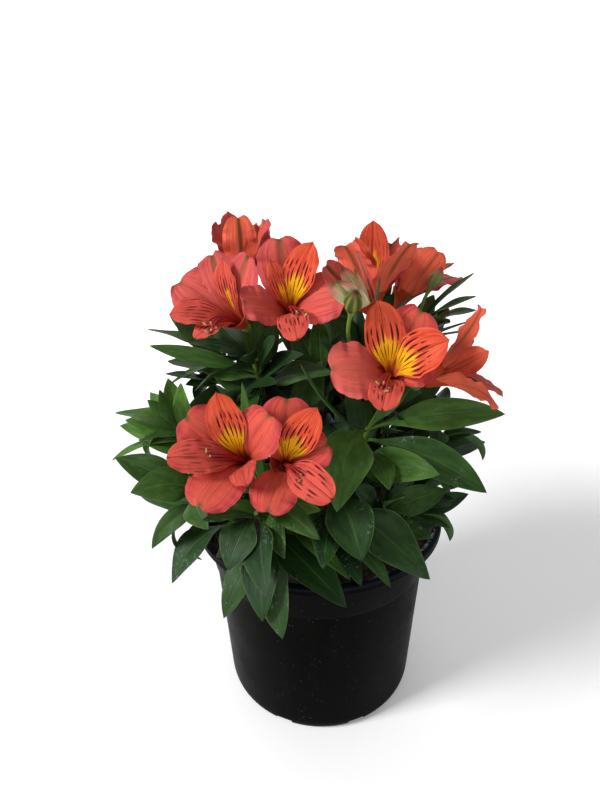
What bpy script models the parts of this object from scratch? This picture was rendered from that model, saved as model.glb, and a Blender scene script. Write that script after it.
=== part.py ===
"""Potted Peruvian lily: a black nursery pot, its soil, leafy stems and coral blooms.

Metres, +Z up. The origin is the centre of the pot's flat underside, and the side that the
photograph shows faces -Y. Every stem with its leaves is one closed solid, and so is every bloom.
"""

import math

import bmesh
import bpy
import numpy as np
from mathutils.bvhtree import BVHTree

MM = 0.001
GAP = 0.3 * MM                  # clearance between pieces that touch
WELD = 0.01 * MM
SEED = 41

# The pot
POT_HEIGHT = 146 * MM
RIM_RADIUS = 90 * MM
RIM_WIDTH = 5.5 * MM            # flat top of the lip
LIP_DROP = 6 * MM               # height of the lip
COLLAR_RADIUS = 85 * MM         # body just under the lip
COLLAR_END = 113.6 * MM         # height of the step under the collar
COLLAR_END_RADIUS = 80 * MM
STEP_IN = 1.4 * MM
BASE_RADIUS = 72.2 * MM
CORNER = 5 * MM                 # height of the rounded bottom corner
WALL = 1.7 * MM
FLOOR = 2.5 * MM
POT_SIDES = 28
SLOTS = 8
SLOT_SIZE = (12 * MM, 9 * MM, 5.5 * MM)

# The soil
SOIL_TOP = 124 * MM
SOIL_SIDES = 14                 # half the pot's, so that its corners meet the pot's corners
SOIL_LUMP = 1.4 * MM
PLANTED = 28 * MM               # depth of a stem in its hole
HOLE_SIDES = 6

# Stems, pedicels and buds
STEM_RADIUS = 2.0 * MM
STEM_TOP_RADIUS = 1.5 * MM
STEM_STEPS = 4
PEDICEL_RADIUS = 1.15 * MM
PEDICEL_ROOT = 0.97             # height on the stem at which the pedicels start
PEDICEL_SHARES = np.array([0.0, 0.5, 1.0])
OVARY_RADIUS = 2.9 * MM
OVARY_LENGTH = 7 * MM

# Leaves
LEAF_NECK = 0.10                # where along the leaf the stalk widens
LEAF_PEAK = 0.55                # where it is widest
LEAF_POINT = 0.9
LEAF_STALK = 1.1 * MM
LEAF_THICKNESS = 1.0 * MM
LEAF_FOLD = 0.26
LEAF_CLEAR = 0.9 * MM
LEAF_STATIONS = np.array([0.0, 0.15, 0.34, 0.58, 0.82, 1.0])
FILL_STATIONS = np.array([0.0, 0.24, 0.62, 1.0])
LEAF_COLUMNS = np.array([-1.0, 0.0, 1.0])
SHIELD_START = 0.12             # share of the leaf from which it has to stay clear of the rest
SHIELD_START_OWN = 0.20         # and of its own stem's other leaves
TRIALS = 60
TRIAL_STEP = 0.7 * MM           # how much further each trial moves the tip

# Stems: foot in the soil (x, y), then the top (x, y, z), in millimetres.
STEMS = {
    "stem_right": ((20, -26), (31, -42, 232)),
    "stem_left": ((-24, -4), (-43, -12, 270)),
    "stem_middle": ((16, 8), (32, 0, 271)),
    "stem_front": ((-16, -40), (-34, -64, 196)),
    "stem_budding": ((38, 22), (70, 14, 288)),
    "shoot_left": ((-52, -8), (-94, -18, 219)),
    "shoot_left_low": ((-48, -30), (-86, -40, 183)),
    "shoot_front": ((2, -50), (10, -66, 204)),
    "shoot_front_right": ((28, -46), (40, -60, 184)),
    "shoot_right": ((50, -8), (77, -12, 204)),
    "shoot_right_low": ((46, -28), (66, -42, 172)),
    "shoot_left_high": ((-38, 16), (-68, 14, 263)),
    "shoot_front_left": ((-24, -50), (-38, -73, 190)),
    "shoot_centre": ((-4, -18), (-10, -26, 226)),
    "shoot_back_right": ((50, 24), (84, 40, 222)),
    "shoot_back": ((6, 36), (12, 52, 262)),
    "shoot_back_left": ((-30, 44), (-52, 70, 236)),
    "shoot_back_low": ((26, 52), (42, 86, 204)),
    "shoot_left_back": ((-56, 18), (-96, 34, 208)),
    "shoot_middle": ((0, -6), (2, -12, 250)),
    "shoot_inner_left": ((-38, -4), (-60, -6, 240)),
    "shoot_inner_right": ((32, -2), (54, -8, 234)),
}

# Leaves placed by hand: height on the stem from 0 at the soil to 1 at the top, tip (x, y, z),
# width in millimetres, lift and sideways bow in shares of the length, and roll in degrees.
LEAVES = {
    "stem_right": [
        (0.98, (10, -96, 206), 30, 0.34, 0.26, 0),
        (0.92, (103, -62, 197), 23, 0.22, 0.0, -32),
        (0.99, (117, -36, 238), 20, 0.20, 0.0, -35),
        (0.84, (40, -86, 214), 18, 0.20, 0.0, -10),
        (0.95, (-10, -54, 279), 12, -0.20, 0.0, -30),
    ],
    "stem_left": [
        (0.93, (-75, -44, 258), 20, 0.26, 0.0, -20),
        (0.88, (-25, -36, 290), 18, 0.12, 0.0, -25),
        (0.96, (-43, -34, 278), 13, 0.10, 0.0, 10),
        (0.80, (-40, -56, 246), 19, 0.28, 0.0, 0),
        (0.84, (10, -36, 266), 21, 0.20, 0.0, 0),
        (0.72, (-80, 14, 262), 18, 0.20, 0.0, 0),
    ],
    "stem_middle": [
        (0.95, (4, -26, 299), 20, 0.14, 0.0, 35),
        (0.98, (38, -16, 321), 8, 0.02, 0.0, 0),
        (0.90, (52, 42, 330), 13, 0.06, 0.0, 0),
        (0.80, (24, 44, 284), 20, 0.2, 0.0, 0),
    ],
    "stem_front": [
        (0.96, (1, -108, 196), 16, 0.26, 0.0, 0),
        (0.90, (-16, -110, 203), 14, 0.28, 0.0, 0),
        (0.82, (-21, -104, 188), 18, 0.34, 0.0, -15),
        (0.94, (-46, -70, 268), 11, 0.06, 0.0, 0),
        (0.66, (-62, -92, 190), 15, 0.24, 0.0, 0),
        (0.74, (18, -106, 167), 13, 0.30, 0.0, 30),
    ],
    "stem_budding": [
        (0.98, (101, 8, 318), 10, 0.08, 0.0, -10),
        (0.93, (104, 5, 294), 19, 0.16, 0.0, -28),
        (0.84, (99, -8, 285), 15, 0.18, 0.0, -20),
        (0.95, (80, 44, 328), 12, 0.08, 0.0, 0),
        (0.88, (92, 52, 280), 20, 0.2, 0.0, 0),
    ],
    "shoot_left": [
        (0.96, (-134, -24, 235), 20, 0.18, 0.0, 15),
        (0.88, (-143, -20, 197), 10, 0.28, 0.0, 0),
        (1.0, (-99, -36, 256), 11, 0.12, 0.0, 0),
        (0.98, (-109, -36, 241), 12, 0.20, 0.0, 0),
        (0.92, (-58, -46, 250), 8, 0.16, 0.0, 0),
        (0.94, (-117, 2, 239), 14, 0.12, 0.0, 0),
        (0.80, (-122, 14, 222), 20, 0.22, 0.0, 0),
        (0.72, (-70, -64, 214), 22, 0.20, 0.0, 0),
    ],
    "shoot_left_low": [
        (0.98, (-133, -38, 209), 21, 0.20, 0.0, 20),
        (0.88, (-120, -48, 182), 24, 0.26, 0.0, 10),
        (0.78, (-111, -56, 150), 14, 0.42, 0.0, 40),
        (0.50, (-98, -64, 128), 24, 0.40, 0.0, 0),
        (0.93, (-64, -86, 184), 20, 0.24, 0.0, 0),
        (0.56, (-130, -10, 162), 20, 0.30, 0.0, 0),
    ],
    "shoot_front": [
        (0.98, (24, -104, 179), 28, 0.28, 0.0, 0),
        (0.84, (66, -92, 156), 30, 0.26, 0.0, 5),
        (0.66, (41, -106, 162), 18, 0.30, 0.0, 20),
        (0.76, (2, -110, 178), 19, 0.24, 0.0, 0),
        (0.54, (25, -98, 156), 18, 0.34, 0.0, 0),
    ],
    "shoot_front_right": [
        (0.98, (50, -80, 206), 12, 0.10, 0.0, -30),
        (0.90, (81, -52, 193), 18, 0.16, 0.0, -18),
        (0.76, (60, -84, 173), 18, 0.26, 0.0, 0),
        (0.60, (69, -74, 173), 18, 0.30, 0.0, 0),
    ],
    "shoot_right": [
        (0.99, (111, -12, 214), 14, 0.20, 0.0, 0),
        (0.92, (101, -20, 191), 12, 0.44, 0.0, 30),
        (0.82, (96, -28, 183), 14, 0.34, 0.0, 20),
        (0.74, (122, 12, 196), 17, 0.28, 0.0, 0),
        (0.96, (74, -44, 232), 16, 0.16, 0.0, 0),
    ],
    "shoot_right_low": [
        (0.97, (92, -24, 167), 13, 0.36, 0.0, 10),
        (0.84, (92, -34, 152), 15, 0.30, 0.0, 0),
        (0.91, (87, -52, 186), 15, 0.24, 0.0, 0),
        (0.70, (60, -76, 182), 18, 0.20, 0.0, 0),
    ],
    "shoot_left_high": [
        (0.99, (-116, 10, 282), 14, 0.10, 0.0, 20),
        (0.96, (-111, 24, 284), 14, 0.10, 0.0, 0),
        (0.90, (-103, -6, 252), 9, 0.26, 0.0, 0),
        (0.94, (-89, -17, 286), 14, 0.14, 0.0, -40),
        (0.80, (-112, 36, 250), 20, 0.22, 0.0, 0),
        (0.72, (-74, -34, 228), 22, 0.22, 0.0, 0),
    ],
    "shoot_front_left": [
        (0.98, (-53, -99, 168), 24, 0.26, 0.0, 0),
        (0.90, (-24, -114, 174), 24, 0.26, 0.0, 0),
        (0.66, (-33, -110, 140), 25, 0.36, 0.0, 0),
        (0.52, (-59, -94, 127), 22, 0.40, 0.0, 0),
        (0.44, (-29, -114, 129), 26, 0.42, 0.0, 0),
        (0.80, (8, -116, 164), 29, 0.26, 0.0, 5),
        (0.96, (-56, -92, 190), 11, 0.16, 0.0, 0),
    ],
}

# Narrow leaves near the tops of three stems, given in the same way and placed after those above.
LATE_LEAVES = [
    ("stem_left", (0.97, (-91, 8, 280), 13, 0.12, 0.0, 25)),
    ("stem_left", (0.92, (-84, -8, 281), 12, 0.10, 0.0, 15)),
    ("stem_left", (0.90, (-82, -14, 266), 12, 0.18, 0.0, 20)),
    ("shoot_left_high", (0.86, (-79, -20, 260), 11, 0.30, 0.0, 20)),
    ("stem_right", (0.99, (60, -50, 275), 10, 0.04, 0.0, 0)),
]

# Stems that get further leaves by rule: how many, and the heading of the first in degrees.
FILL_LEAVES = {
    "stem_right": (4, 40), "stem_left": (7, 190), "stem_middle": (5, 100), "stem_front": (2, 150),
    "stem_budding": (3, 30), "shoot_left": (2, 120), "shoot_left_low": (1, 150),
    "shoot_front": (1, 200), "shoot_front_right": (2, 10), "shoot_right": (3, 30),
    "shoot_right_low": (2, -10), "shoot_left_high": (3, 100), "shoot_front_left": (1, 230),
    "shoot_centre": (10, 20), "shoot_back_right": (5, 10), "shoot_back": (5, 80),
    "shoot_back_left": (6, 120), "shoot_back_low": (6, 60), "shoot_left_back": (5, 160),
    "shoot_middle": (8, 250), "shoot_inner_left": (7, 200), "shoot_inner_right": (8, 300),
}
FILL_SEED = 500
SEEDS_PER_STEM = 20
GOLDEN_TURN = 137.5
FILL_REACH = 104 * MM           # furthest that such a tip gets from the pot's axis
FILL_SLACK = 5 * MM             # and how much further a trial may take it
FILL_LOW = 166 * MM             # and the lowest

# Closed green buds: stem, middle of the bud (x, y, z), heading of the bud, length and radius.
BUDS = [
    ("stem_middle", (19, -67, 318), (0.1, -0.6, 0.8), 15, 4.8),
    ("stem_budding", (78, 14, 314), (0.45, 0.0, 0.9), 14, 4.2),
    ("stem_budding", (83, 6, 292), (0.6, -0.3, 0.7), 9, 3.0),
]

# The three kinds of tepal: length, half width and half width of the claw in millimetres, lean at
# the claw and flare at the tip in degrees off the bloom's axis, how late it flares, where it
# swells, where and how bluntly it ends, depth of the tip's notch in millimetres, the bend across
# the blade per millimetre, and how far off the bloom's axis it starts.
KINDS = {
    "outer": dict(length=50, half=15.5, claw=2.4, lean=16, flare=84, late=1.4, rise=(0.02, 0.62),
                  tip=(0.60, 2.8, 0.50), notch=2.4, bend=-0.008, start=2.7),
    "upper": dict(length=56, half=10.5, claw=1.6, lean=9, flare=72, late=1.4, rise=(0.16, 0.62),
                  tip=(0.58, 2.5, 0.56), notch=0.0, bend=0.016, start=1.6),
    "lower": dict(length=48, half=9.0, claw=1.6, lean=9, flare=84, late=1.4, rise=(0.16, 0.62),
                  tip=(0.60, 2.7, 0.50), notch=0.0, bend=0.012, start=1.6),
}
CLAW_BEND = 0.26 / MM
TEPAL_TILT = 0.10              # one edge of each tepal lies over its neighbour's
TEPAL_THICKNESS = 0.75 * MM
TEPAL_STATIONS = np.array([0.0, 0.28, 0.50, 0.70, 0.89, 1.0])
TEPAL_COLUMNS = np.array([-1.0, -0.5, 0.0, 0.5, 1.0])
NARROW_STATIONS = np.array([0.0, 0.30, 0.58, 0.84, 1.0])
NARROW_COLUMNS = np.array([-1.0, 0.0, 1.0])
NARROW_TEPAL = 11.0             # half width in millimetres up to which these coarser ones do
OUTER_ANGLES = (90, 210, 330)
UPPER_ANGLES = (32, 148)
LOWER_ANGLE = 270
TEPAL_FOOT = 1.0 * MM           # height in the hub at which the tepals start
HUB_RADIUS = 3.5 * MM
HUB_LENGTH = 6.5 * MM
HUB_SIDES = 6
STAMENS = 6
STAMENS_BUILT = (0, 2, 4)       # the rest are left to the dressed model
STAMEN_LENGTH = 34 * MM
STAMEN_RADIUS = 0.5 * MM
ANTHER_RADIUS = 0.95 * MM

# Blooms: stem, foot of the funnel (x, y, z), heading, roll in degrees, and the tepals that differ
# from the plain bloom: number -> (angle, flare, length share, width share). Tepals 0 to 2 are the
# outer ones from the top, 3 and 4 the upper inner ones, 5 the lower one.
BLOOMS = {
    "bloom_right": ("stem_right", (43, -44, 264), (-0.10, -0.74, 0.66), -14, {
        0: (76, 84, 1.0, 1.0), 1: (206, 86, 0.98, 1.2), 2: (20, 98, 0.68, 0.7),
        3: (30, 74, 0.98, 1.25), 4: (119, 72, 1.0, 1.1), 5: (278, 84, 1.0, 1.05)}),
    "bloom_right_side": ("stem_right", (65, -30, 257), (0.90, -0.05, 0.43), 0, {
        0: (88, 48, 1.16, 0.8), 4: (148, 34, 0.8, 0.8), 5: (275, 70, 1.1, 0.9)}),
    "bloom_left": ("stem_left", (-16, -22, 299), (-0.06, -0.78, 0.60), 33, {
        0: (66, 76, 1.0, 0.95), 1: (163, 62, 0.84, 0.88), 2: (328, 92, 0.94, 1.0),
        3: (26, 70, 0.96, 0.95), 4: (84, 50, 0.75, 0.6), 5: (254, 84, 1.0, 1.0)}),
    "bloom_left_outer": ("stem_left", (-47, -11, 290), (-0.38, -0.68, 0.63), 0, {
        0: (118, 88, 1.0, 0.75), 1: (164, 84, 1.0, 1.1), 2: (66, 78, 1.0, 0.84),
        3: (92, 62, 0.85, 0.7), 4: (208, 80, 0.9, 1.0), 5: (254, 80, 0.85, 0.9)}),
    "bloom_left_top": ("stem_left", (-48, 10, 306), (-0.02, 0.12, 1.0), 0, {
        0: (272, 12, 1.0, 0.7), 1: (150, 26, 0.96, 0.8), 2: (25, 20, 0.98, 0.85),
        3: (128, 24, 0.96, 1.0), 4: (330, 22, 0.8, 0.8), 5: (210, 22, 0.8, 0.8)}),
    "bloom_back": ("stem_middle", (36, 2, 294), (0.02, 0.10, 1.0), 8, {
        0: (52, 45, 1.0, 1.0), 1: (208, 46, 1.0, 1.0), 2: (306, 50, 1.05, 1.1),
        3: (84, 26, 1.06, 1.0), 4: (215, 36, 0.9, 0.8), 5: (324, 36, 0.9, 0.8)}),
    "bloom_back_far": ("stem_middle", (52, 27, 289), (0.52, 0.25, 0.82), 0, {
        0: (30, 40, 1.0, 0.9), 1: (262, 60, 1.1, 0.8), 2: (160, 30, 1.0, 0.8),
        3: (330, 40, 1.0, 1.0), 4: (215, 40, 0.9, 0.8), 5: (95, 30, 0.9, 0.8)}),
    "bloom_low_left": ("stem_front", (-43, -68, 222), (-0.10, -0.76, 0.62), -79, {
        0: (124, 60, 1.0, 0.9), 1: (227, 86, 1.0, 1.0), 2: (324, 86, 1.0, 1.0),
        3: (19, 60, 0.72, 0.8), 4: (187, 72, 1.0, 1.0), 5: (270, 84, 1.15, 1.1)}),
    "bloom_low_middle": ("stem_front", (-20, -68, 220), (0.03, -0.81, 0.59), 48, {
        0: (37, 80, 1.0, 1.0), 1: (205, 84, 0.88, 0.86), 2: (330, 76, 0.8, 0.8),
        3: (5, 72, 1.0, 1.0), 4: (59, 66, 0.72, 0.8), 5: (270, 84, 1.15, 1.1)}),
    "bloom_half_open": ("stem_middle", (32, -44, 306), (-0.52, -0.42, 0.74), 0, {
        0: (60, 8, 0.84, 0.5), 1: (180, 12, 0.80, 0.5), 2: (300, 8, 0.82, 0.5),
        3: (32, 6, 0.60, 0.4), 4: (148, 6, 0.60, 0.4), 5: (262, 6, 0.60, 0.4)}),
}
# Blooms seen from outside the funnel or behind the others: coarser tepals, and no stamens here
HALF_HIDDEN = ("bloom_half_open", "bloom_back_far", "bloom_back", "bloom_left_top")
NO_STAMENS = (*HALF_HIDDEN, "bloom_left_outer", "bloom_right_side")


def clear_scene():
    for item in list(bpy.data.objects):
        bpy.data.objects.remove(item, do_unlink=True)


def new_collection(name):
    collection = bpy.data.collections.new(name)
    bpy.context.scene.collection.children.link(collection)
    return collection


def finish(name, colour, roughness, metallic=0.0):
    material = bpy.data.materials.new(name)
    material.use_nodes = True
    shader = material.node_tree.nodes["Principled BSDF"]
    shader.inputs["Base Color"].default_value = (*colour, 1.0)
    shader.inputs["Roughness"].default_value = roughness
    shader.inputs["Metallic"].default_value = metallic
    return material


def place_mesh(name, mesh, collection):
    item = bpy.data.objects.new(name, mesh)
    collection.objects.link(item)
    return item


def evaluated_mesh(item):
    """The object's mesh as its modifiers leave it."""
    bpy.context.view_layer.update()
    depsgraph = bpy.context.evaluated_depsgraph_get()
    return bpy.data.meshes.new_from_object(item.evaluated_get(depsgraph))


def unit(vector):
    vector = np.asarray(vector, float)
    return vector / np.linalg.norm(vector)


def smooth_step(value):
    value = np.clip(value, 0.0, 1.0)
    return value * value * (3.0 - 2.0 * value)


# Pot and soil

def pot_profile():
    """From the middle of the inside floor, up the inside, over the lip and down the outside."""
    inner_foot = BASE_RADIUS - WALL
    inner_step = COLLAR_END_RADIUS - STEP_IN - WALL
    return [
        (0.0, FLOOR),
        (inner_foot - 0.7 * MM, FLOOR),
        (inner_step, COLLAR_END - 1.0 * MM),
        (COLLAR_END_RADIUS - WALL, COLLAR_END + 0.4 * MM),
        (COLLAR_RADIUS - WALL, POT_HEIGHT - LIP_DROP),
        (RIM_RADIUS - RIM_WIDTH, POT_HEIGHT),
        (RIM_RADIUS - 0.7 * MM, POT_HEIGHT),
        (RIM_RADIUS, POT_HEIGHT - 0.9 * MM),
        (RIM_RADIUS, POT_HEIGHT - LIP_DROP + 0.4 * MM),
        (COLLAR_RADIUS, POT_HEIGHT - LIP_DROP - 0.4 * MM),
        (COLLAR_END_RADIUS, COLLAR_END),
        (COLLAR_END_RADIUS - STEP_IN, COLLAR_END - 1.0 * MM),
        (BASE_RADIUS, CORNER),
        (BASE_RADIUS - 3.0 * MM, 0.0),
        (0.0, 0.0),
    ]


def pot_inside_radius(height):
    profile = pot_profile()[1:6]
    return np.interp(height, [z for r, z in profile], [r for r, z in profile])


def turned(name, profile, sides, collection):
    """A profile in the XZ plane turned about +Z with a Screw."""
    mesh = bpy.data.meshes.new(name)
    points = [(r, 0.0, z) for r, z in profile]
    mesh.from_pydata(points, [(i, i + 1) for i in range(len(points) - 1)], [])
    item = place_mesh(name, mesh, collection)
    screw = item.modifiers.new("Turn", "SCREW")
    screw.steps = sides
    screw.render_steps = sides
    screw.use_merge_vertices = True
    screw.merge_threshold = WELD
    return item


def slot_cutters(collection):
    """Boxes that cut the drainage slots through the bottom corner."""
    for number in range(SLOTS):
        angle = math.tau * (number + 0.5) / SLOTS
        mesh = bpy.data.meshes.new("slot")
        shape = bmesh.new()
        bmesh.ops.create_cube(shape, size=1.0)
        bmesh.ops.scale(shape, vec=(SLOT_SIZE[1], SLOT_SIZE[0], SLOT_SIZE[2]), verts=shape.verts)
        shape.to_mesh(mesh)
        shape.free()
        cutter = place_mesh(f"slot_{number}", mesh, collection)
        cutter.location = (BASE_RADIUS * math.cos(angle), BASE_RADIUS * math.sin(angle), 1.8 * MM)
        cutter.rotation_euler = (0.0, 0.0, angle)


def make_pot(collection, cutters):
    pot = turned("pot", pot_profile(), POT_SIDES, collection)
    slots = new_collection("slots")
    cutters.children.link(slots)
    bpy.context.scene.collection.children.unlink(slots)
    slot_cutters(slots)
    pot.data.materials.append(finish("black_plastic", (0.010, 0.010, 0.010), 0.45))
    solid = apply_boolean(pot, slots, "DIFFERENCE", collection)
    for cutter in list(slots.objects):
        bpy.data.objects.remove(cutter, do_unlink=True)
    solid.data.shade_smooth()
    solid.data.set_sharp_from_angle(angle=math.radians(30))
    return solid


def soil_profile():
    """Top middle, out along the top, down the side and in along the bottom."""
    foot = FLOOR + GAP
    rings = [0.0, 0.36, 0.72]
    wall = pot_inside_radius(SOIL_TOP) - 1.1 * GAP
    heights = [SOIL_TOP, COLLAR_END + 0.4 * MM, COLLAR_END - 1.0 * MM, foot]
    side = [(pot_inside_radius(z) - 1.1 * GAP, z) for z in heights]
    return [(share * wall, SOIL_TOP) for share in rings] + side + [(0.0, foot)]


def lump(x, y):
    """Height of the soil's lumps, fading out at the pot."""
    radius = np.hypot(x, y) / pot_inside_radius(SOIL_TOP)
    waves = np.sin(x / (9 * MM) + 1.3) * np.sin(y / (11 * MM) + 0.4) + 0.6 * np.sin((x + y) / (6 * MM))
    return SOIL_LUMP * waves * np.clip(1.0 - radius**4, 0.0, 1.0)


def make_soil(collection, cutters):
    soil = turned("soil", soil_profile(), SOIL_SIDES, collection)
    mesh = evaluated_mesh(soil)
    bpy.data.objects.remove(soil, do_unlink=True)
    for vertex in mesh.vertices:
        if vertex.co.z > SOIL_TOP - WELD:
            vertex.co.z += lump(vertex.co.x, vertex.co.y)
    soil = place_mesh("soil", mesh, collection)
    soil.data.materials.append(finish("potting_soil", (0.03, 0.02, 0.012), 0.95))
    holes = new_collection("holes")
    cutters.children.link(holes)
    bpy.context.scene.collection.children.unlink(holes)
    radius = (STEM_RADIUS + GAP) / math.cos(math.pi / HOLE_SIDES) + 0.05 * MM
    depth = PLANTED + GAP
    top = SOIL_TOP + 8 * MM
    for name, (foot, _) in STEMS.items():
        hole = bpy.data.meshes.new("hole")
        shape = bmesh.new()
        bmesh.ops.create_cone(shape, cap_ends=True, segments=HOLE_SIDES, radius1=radius, radius2=radius,
                              depth=top - SOIL_TOP + depth)
        shape.to_mesh(hole)
        shape.free()
        cutter = place_mesh(f"hole_{name}", hole, holes)
        cutter.location = (foot[0] * MM, foot[1] * MM, (top + SOIL_TOP - depth) / 2)
    solid = apply_boolean(soil, holes, "DIFFERENCE", collection)
    for cutter in list(holes.objects):
        bpy.data.objects.remove(cutter, do_unlink=True)
    return solid


# Joining

def apply_boolean(item, others, operation, collection):
    """One Boolean of an object with a collection, applied; loose scraps and sealed hollows go."""
    name = item.name
    boolean = item.modifiers.new("Join", "BOOLEAN")
    boolean.operation = operation
    boolean.operand_type = "COLLECTION"
    boolean.collection = others
    boolean.solver = "EXACT"
    mesh = evaluated_mesh(item)
    material = item.data.materials[0]
    bpy.data.objects.remove(item, do_unlink=True)
    keep_largest_shell(mesh)
    mesh.materials.clear()
    mesh.materials.append(material)
    solid = place_mesh(name, mesh, collection)
    mesh.name = name
    return solid


def keep_largest_shell(mesh):
    """Deletes every closed shell of a mesh but the one that reaches furthest."""
    shape = bmesh.new()
    shape.from_mesh(mesh)
    waiting = set(shape.verts)
    shells = []
    while waiting:
        start = waiting.pop()
        shell = {start}
        edge_of_search = [start]
        while edge_of_search:
            vertex = edge_of_search.pop()
            for edge in vertex.link_edges:
                other = edge.other_vert(vertex)
                if other not in shell:
                    shell.add(other)
                    edge_of_search.append(other)
        waiting -= shell
        shells.append(shell)
    shells.sort(key=len)
    for shell in shells[:-1]:
        bmesh.ops.delete(shape, geom=list(shell), context="VERTS")
    shape.to_mesh(mesh)
    shape.free()


def join_pieces(name, base, pieces, material, collection):
    """Fuses loose pieces to a base object by one union, and removes them."""
    group = new_collection(f"{name}_pieces")
    for number, mesh in enumerate(pieces):
        place_mesh(f"{name}_piece_{number}", mesh, group)
    base.data.materials.append(material)
    solid = apply_boolean(base, group, "UNION", collection)
    for piece in list(group.objects):
        bpy.data.objects.remove(piece, do_unlink=True)
    bpy.data.collections.remove(group)
    solid.data.shade_smooth()
    solid.data.set_sharp_from_angle(angle=math.radians(35))
    return solid


# Round stems

def tube_mesh(name, points, radii, resolution=1):
    """A round tube along points with a radius at each, closed at both ends."""
    curve = bpy.data.curves.new(name, "CURVE")
    curve.dimensions = "3D"
    curve.bevel_depth = 1 * MM
    curve.bevel_resolution = resolution
    curve.use_fill_caps = True
    spline = curve.splines.new("POLY")
    spline.points.add(len(points) - 1)
    for place, point, radius in zip(spline.points, points, radii):
        place.co = (*point, 1.0)
        place.radius = radius / MM
    item = bpy.data.objects.new(name, curve)
    bpy.context.scene.collection.objects.link(item)
    mesh = evaluated_mesh(item)
    bpy.data.objects.remove(item, do_unlink=True)
    bpy.data.curves.remove(curve)
    shape = bmesh.new()
    shape.from_mesh(mesh)
    bmesh.ops.remove_doubles(shape, verts=shape.verts, dist=WELD)
    bmesh.ops.recalc_face_normals(shape, faces=shape.faces)
    shape.to_mesh(mesh)
    shape.free()
    return mesh


def bezier(start, middle, end, share):
    share = np.asarray(share, float)[..., None]
    return (1 - share) ** 2 * start + 2 * share * (1 - share) * middle + share**2 * end


def stem_ends(name):
    foot, top = STEMS[name]
    start = np.array([foot[0] * MM, foot[1] * MM, SOIL_TOP + 3 * MM])
    end = np.array(top) * MM
    middle = np.array([start[0], start[1], 0.55 * start[2] + 0.45 * end[2]])
    return start, middle, end


def stem_point(name, share):
    return bezier(*stem_ends(name), share)


def stem_mesh(name):
    shares = np.linspace(0.0, 1.0, STEM_STEPS)
    points = list(stem_point(name, shares))
    points.insert(0, points[0] - np.array([0.0, 0.0, PLANTED + 3 * MM]))
    radii = [STEM_RADIUS] + list(np.linspace(STEM_RADIUS, STEM_TOP_RADIUS, STEM_STEPS))
    return tube_mesh(name, points, radii)


def pedicel_mesh(name, stem, foot, heading):
    """From the stem's top to the ovary, which swells under the bloom and ends flat."""
    heading = unit(heading)
    top = np.array(foot) * MM - GAP * heading
    neck = top - OVARY_LENGTH * heading
    root = stem_point(stem, PEDICEL_ROOT)
    reach = np.linalg.norm(neck - root)
    bent = neck - 0.5 * reach * heading
    points = list(bezier(root, bent, neck, PEDICEL_SHARES))
    points += [neck + 0.45 * OVARY_LENGTH * heading, top]
    radii = [PEDICEL_RADIUS] * len(PEDICEL_SHARES) + [OVARY_RADIUS, 0.85 * OVARY_RADIUS]
    return tube_mesh(name, points, radii)


def bud_mesh(name, stem, middle, heading, length, radius):
    """A pedicel with a closed bud on it: small ovary, waist, pointed bud."""
    heading = unit(heading)
    middle = np.array(middle) * MM
    length = length * MM
    radius = radius * MM
    foot = middle - 0.5 * length * heading
    neck = foot - 0.7 * OVARY_LENGTH * heading
    root = stem_point(stem, PEDICEL_ROOT)
    bent = neck - 0.45 * np.linalg.norm(neck - root) * heading
    points = list(bezier(root, bent, neck, PEDICEL_SHARES))
    shares = (-0.15, 0.0, 0.32, 0.78, 1.0)
    points += [foot + share * length * heading for share in shares]
    radii = [PEDICEL_RADIUS] * len(PEDICEL_SHARES)
    radii += [0.6 * radius, 0.55 * radius, radius, 0.7 * radius, 0.12 * radius]
    return tube_mesh(name, points, radii)


# Thin blades

def blade_mesh(name, middle, facing, thickness):
    """A closed blade from a grid of points: two faces with the same triangles, sharp at the edge.

    middle and facing are (stations, columns, 3); the last station is the tip and counts as one point.
    """
    stations, columns = middle.shape[:2]
    centre = columns // 2
    upper = np.zeros((stations - 1, columns), int)
    lower = np.zeros((stations - 1, columns), int)
    points = []
    for i in range(stations - 1):
        for j in range(columns):
            if j in (0, columns - 1):
                upper[i, j] = lower[i, j] = len(points)
                points.append(middle[i, j])
            else:
                upper[i, j] = len(points)
                points.append(middle[i, j] + facing[i, j] * thickness / 2)
                lower[i, j] = len(points)
                points.append(middle[i, j] - facing[i, j] * thickness / 2)
    tip = len(points)
    points.append(middle[-1, centre])
    faces = []
    for i in range(stations - 2):
        for j in range(columns - 1):
            for side, grid in enumerate((upper, lower)):
                a, b, c, d = grid[i, j], grid[i, j + 1], grid[i + 1, j + 1], grid[i + 1, j]
                pair = [(a, b, c), (a, c, d)] if j < centre else [(a, b, d), (b, c, d)]
                faces += [tri[::-1] if side else tri for tri in pair]
    for j in range(columns - 1):
        faces.append((upper[-1, j], upper[-1, j + 1], tip))
        faces.append((tip, lower[-1, j + 1], lower[-1, j]))
    ring = [*upper[0], *lower[0, 1:-1][::-1]]
    faces.append(tuple(ring[::-1]))
    mesh = bpy.data.meshes.new(name)
    mesh.from_pydata([tuple(point) for point in points], [], [tuple(int(v) for v in face) for face in faces])
    shape = bmesh.new()
    shape.from_mesh(mesh)
    bmesh.ops.triangulate(shape, faces=[face for face in shape.faces if len(face.verts) > 3])
    if shape.calc_volume(signed=True) < 0:
        bmesh.ops.reverse_faces(shape, faces=shape.faces)
    shape.to_mesh(mesh)
    shape.free()
    return mesh


# Leaves

def leaf_half_width(width, along):
    """A narrow stalk, widest at LEAF_PEAK, then nearly straight sides to the point."""
    rise = smooth_step((along - LEAF_NECK) / (LEAF_PEAK - LEAF_NECK))
    past = np.clip((along - LEAF_PEAK) / (1.0 - LEAF_PEAK), 0.0, 1.0)
    fall = (1.0 - past**2) ** LEAF_POINT
    return (LEAF_STALK + (width / 2 - LEAF_STALK) * rise) * fall


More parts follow.
